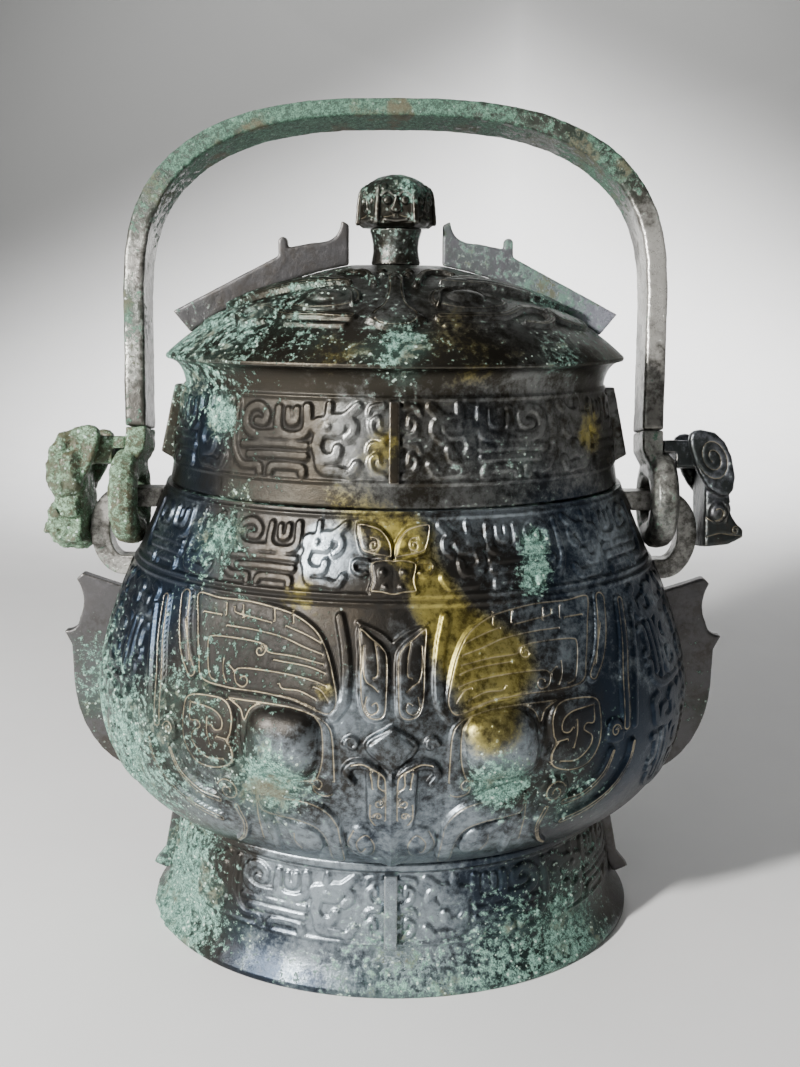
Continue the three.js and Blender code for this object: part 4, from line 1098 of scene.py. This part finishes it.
def build_bail():
    piece, at, normal = skin_copy("bail_arch_cast", "bail_arch", 0.62, 5)
    reach = uneven(at, 7, 0.5, 51) + uneven(at, 2, 0.22, 52)
    raise_skin(piece, at, normal, reach)
    settle(piece, "bail", ["bail_arch"], "green_bronze", bail_bronze, seed=53)
    loop = {"body": "bail", "slot": "green_bronze", "voxel": 0.45, "rounds": 8, "seed": 54}
    build_plain("bail_loop_left", material=crust_bronze, swell=1.3, green=0.5, **loop)
    build_plain("bail_loop_right", material=bail_bronze, swell=0.3, green=0.2, pale=0.2, **loop)
    build_head(-1, "left", crusted=True, green=0.5)
    build_head(1, "right", crusted=False, green=0.05)


build_bowl()
build_foot()
build_lid()
build_bud()
build_bail()
build_plain("knob_stem", "lid", "green_bronze", lid_bronze, seed=22, green=0.16)
for name, green in (("left", -0.3), ("right", 0.05)):
    build_plain(f"body_flange_{name}", "vessel", "bronze", flange_bronze, seed=23, green=green)
    build_plain(f"foot_flange_{name}", "vessel", "bronze", flange_bronze, seed=24)
    build_plain(f"lug_ring_{name}", "vessel", "pale_bronze", bail_bronze, seed=25, pale=0.3)
    build_plain(f"lid_skirt_flange_{name}", "lid", "bronze", lid_bronze, seed=26)
build_plain("lid_roof_flange_left", "lid", "green_bronze", flange_bronze, seed=27, green=-0.3, pale=-0.05)
build_plain("lid_roof_flange_right", "lid", "green_bronze", mint_bronze, seed=28, green=0.06, pale=0.1)
for name in ("front", "back"):
    build_plain(f"foot_ridge_{name}", "vessel", "bronze", body_bronze, voxel=0.4, seed=29)
    build_plain(f"lid_skirt_ridge_{name}", "lid", "bronze", lid_bronze, voxel=0.4, seed=30, pale=-0.5)


# Studio

def backdrop():
    """Pale round floor that sweeps up into a wall all round, with painted shade that darkens the wall
    towards the top, most behind the vessel.
    """
    floor_edge = (1.1, 0)
    wall_foot = (1.52, 0.35)
    wall_top = (1.56, 1.8)
    rise = bezier(floor_edge, (1.5, 0), wall_foot, count=24)
    sweep = np.vstack([(0.001, 0), rise, wall_top])
    turn = np.linspace(0, 2 * math.pi, 120, endpoint=False)
    vertices = np.array([(r * math.cos(a), r * math.sin(a), z) for r, z in sweep for a in turn]) / MM
    sheet = mesh_object("backdrop", vertices, grid_faces(len(sweep), len(turn)))
    paint = Finish("pale_paper_painted_shade")
    shade = paint.mix(paint.noise(60, 3), (0.8, 0.8, 0.8), (0.86, 0.86, 0.855))
    x, y, z = paint.axes()
    # Painted shade for light that falls off: darker up the wall and away from x = 0.2, full behind the
    # vessel and half as strong elsewhere
    aside = paint.math("ABSOLUTE", paint.math("SUBTRACT", x, 0.2), 0.0)
    painted_falloff = paint.step(paint.add((z, 1.0), (aside, 0.5)), 0.26, 0.8, 0.96)
    painted_falloff = paint.math("MULTIPLY", painted_falloff, paint.math("ADD", paint.step(y, 0.5, 1.1, 0.5), 0.5))
    shade = paint.mix(painted_falloff, shade, (0.06, 0.06, 0.058))
    sheet.data.materials.append(paint.surface({"Base Color": shade, "Roughness": 0.75}))


def aim_lamp(lamp, place, target, power, colour=(1, 1, 1)):
    lamp.energy = power
    lamp.color = colour
    holder = bpy.data.objects.new(lamp.name, lamp)
    holder.location = place
    holder.rotation_euler = (Vector(target) - Vector(place)).to_track_quat("-Z", "Y").to_euler()
    holder.visible_camera = False
    bpy.context.scene.collection.objects.link(holder)


def area_light(name, size, **aim):
    lamp = bpy.data.lights.new(name, "AREA")
    lamp.size = size
    aim_lamp(lamp, **aim)


def spot_light(name, cone, size, **aim):
    lamp = bpy.data.lights.new(name, "SPOT")
    lamp.shadow_soft_size = size
    lamp.spot_size = math.radians(cone)
    lamp.spot_blend = 0.75
    aim_lamp(lamp, **aim)


def studio():
    """A lamp from the left that throws shadows to the right, one for the wall, and soft light all round."""
    middle = (0, 0, 0.17)
    spot_light(
        "key", cone=95, size=0.045, place=(-0.8, -0.8, 0.58), target=(-0.05, 0, 0.08), power=150,
        colour=(1, 0.98, 0.95),
    )
    spot_light("wall", cone=90, size=0.2, place=(0.1, 0.5, 1.3), target=(0.05, 1.5, 0.32), power=215)
    area_light("top", size=0.6, place=(-0.1, -0.1, 1.2), target=middle, power=1.2)
    area_light("front", size=0.25, place=(-0.5, -1.1, 0.6), target=middle, power=1.2)
    area_light("side", size=0.8, place=(1.25, -0.2, 0.6), target=middle, power=0.3, colour=(0.94, 0.97, 1))
    area_light("back", size=1.1, place=(0.3, 1.3, 0.9), target=(0, 0, 0.15), power=5)
    world = bpy.data.worlds.new("studio")
    world.use_nodes = True
    sky = world.node_tree.nodes["Background"].inputs
    sky["Color"].default_value = (0.85, 0.87, 0.9, 1)
    sky["Strength"].default_value = 0.04
    bpy.context.scene.world = world


def camera():
    """The photograph's view, taken as 800 by 1067 pixels."""
    focal_pixels = 1100
    frame_height = 1067
    axis_offset = 6.5
    pitch_down = math.radians(12.22)
    roll = math.radians(0.45)
    view = bpy.data.cameras.new("photo_view")
    view.sensor_width = 36
    view.lens = view.sensor_width * focal_pixels / frame_height
    view.shift_x = axis_offset / frame_height
    holder = bpy.data.objects.new("photo_view", view)
    holder.location = (0, -0.4448, 0.256)
    turn = Matrix.Rotation(math.pi / 2 - pitch_down, 3, "X") @ Matrix.Rotation(roll, 3, "Z")
    holder.rotation_euler = turn.to_euler()
    bpy.context.scene.collection.objects.link(holder)
    bpy.context.scene.camera = holder


backdrop()
studio()
camera()
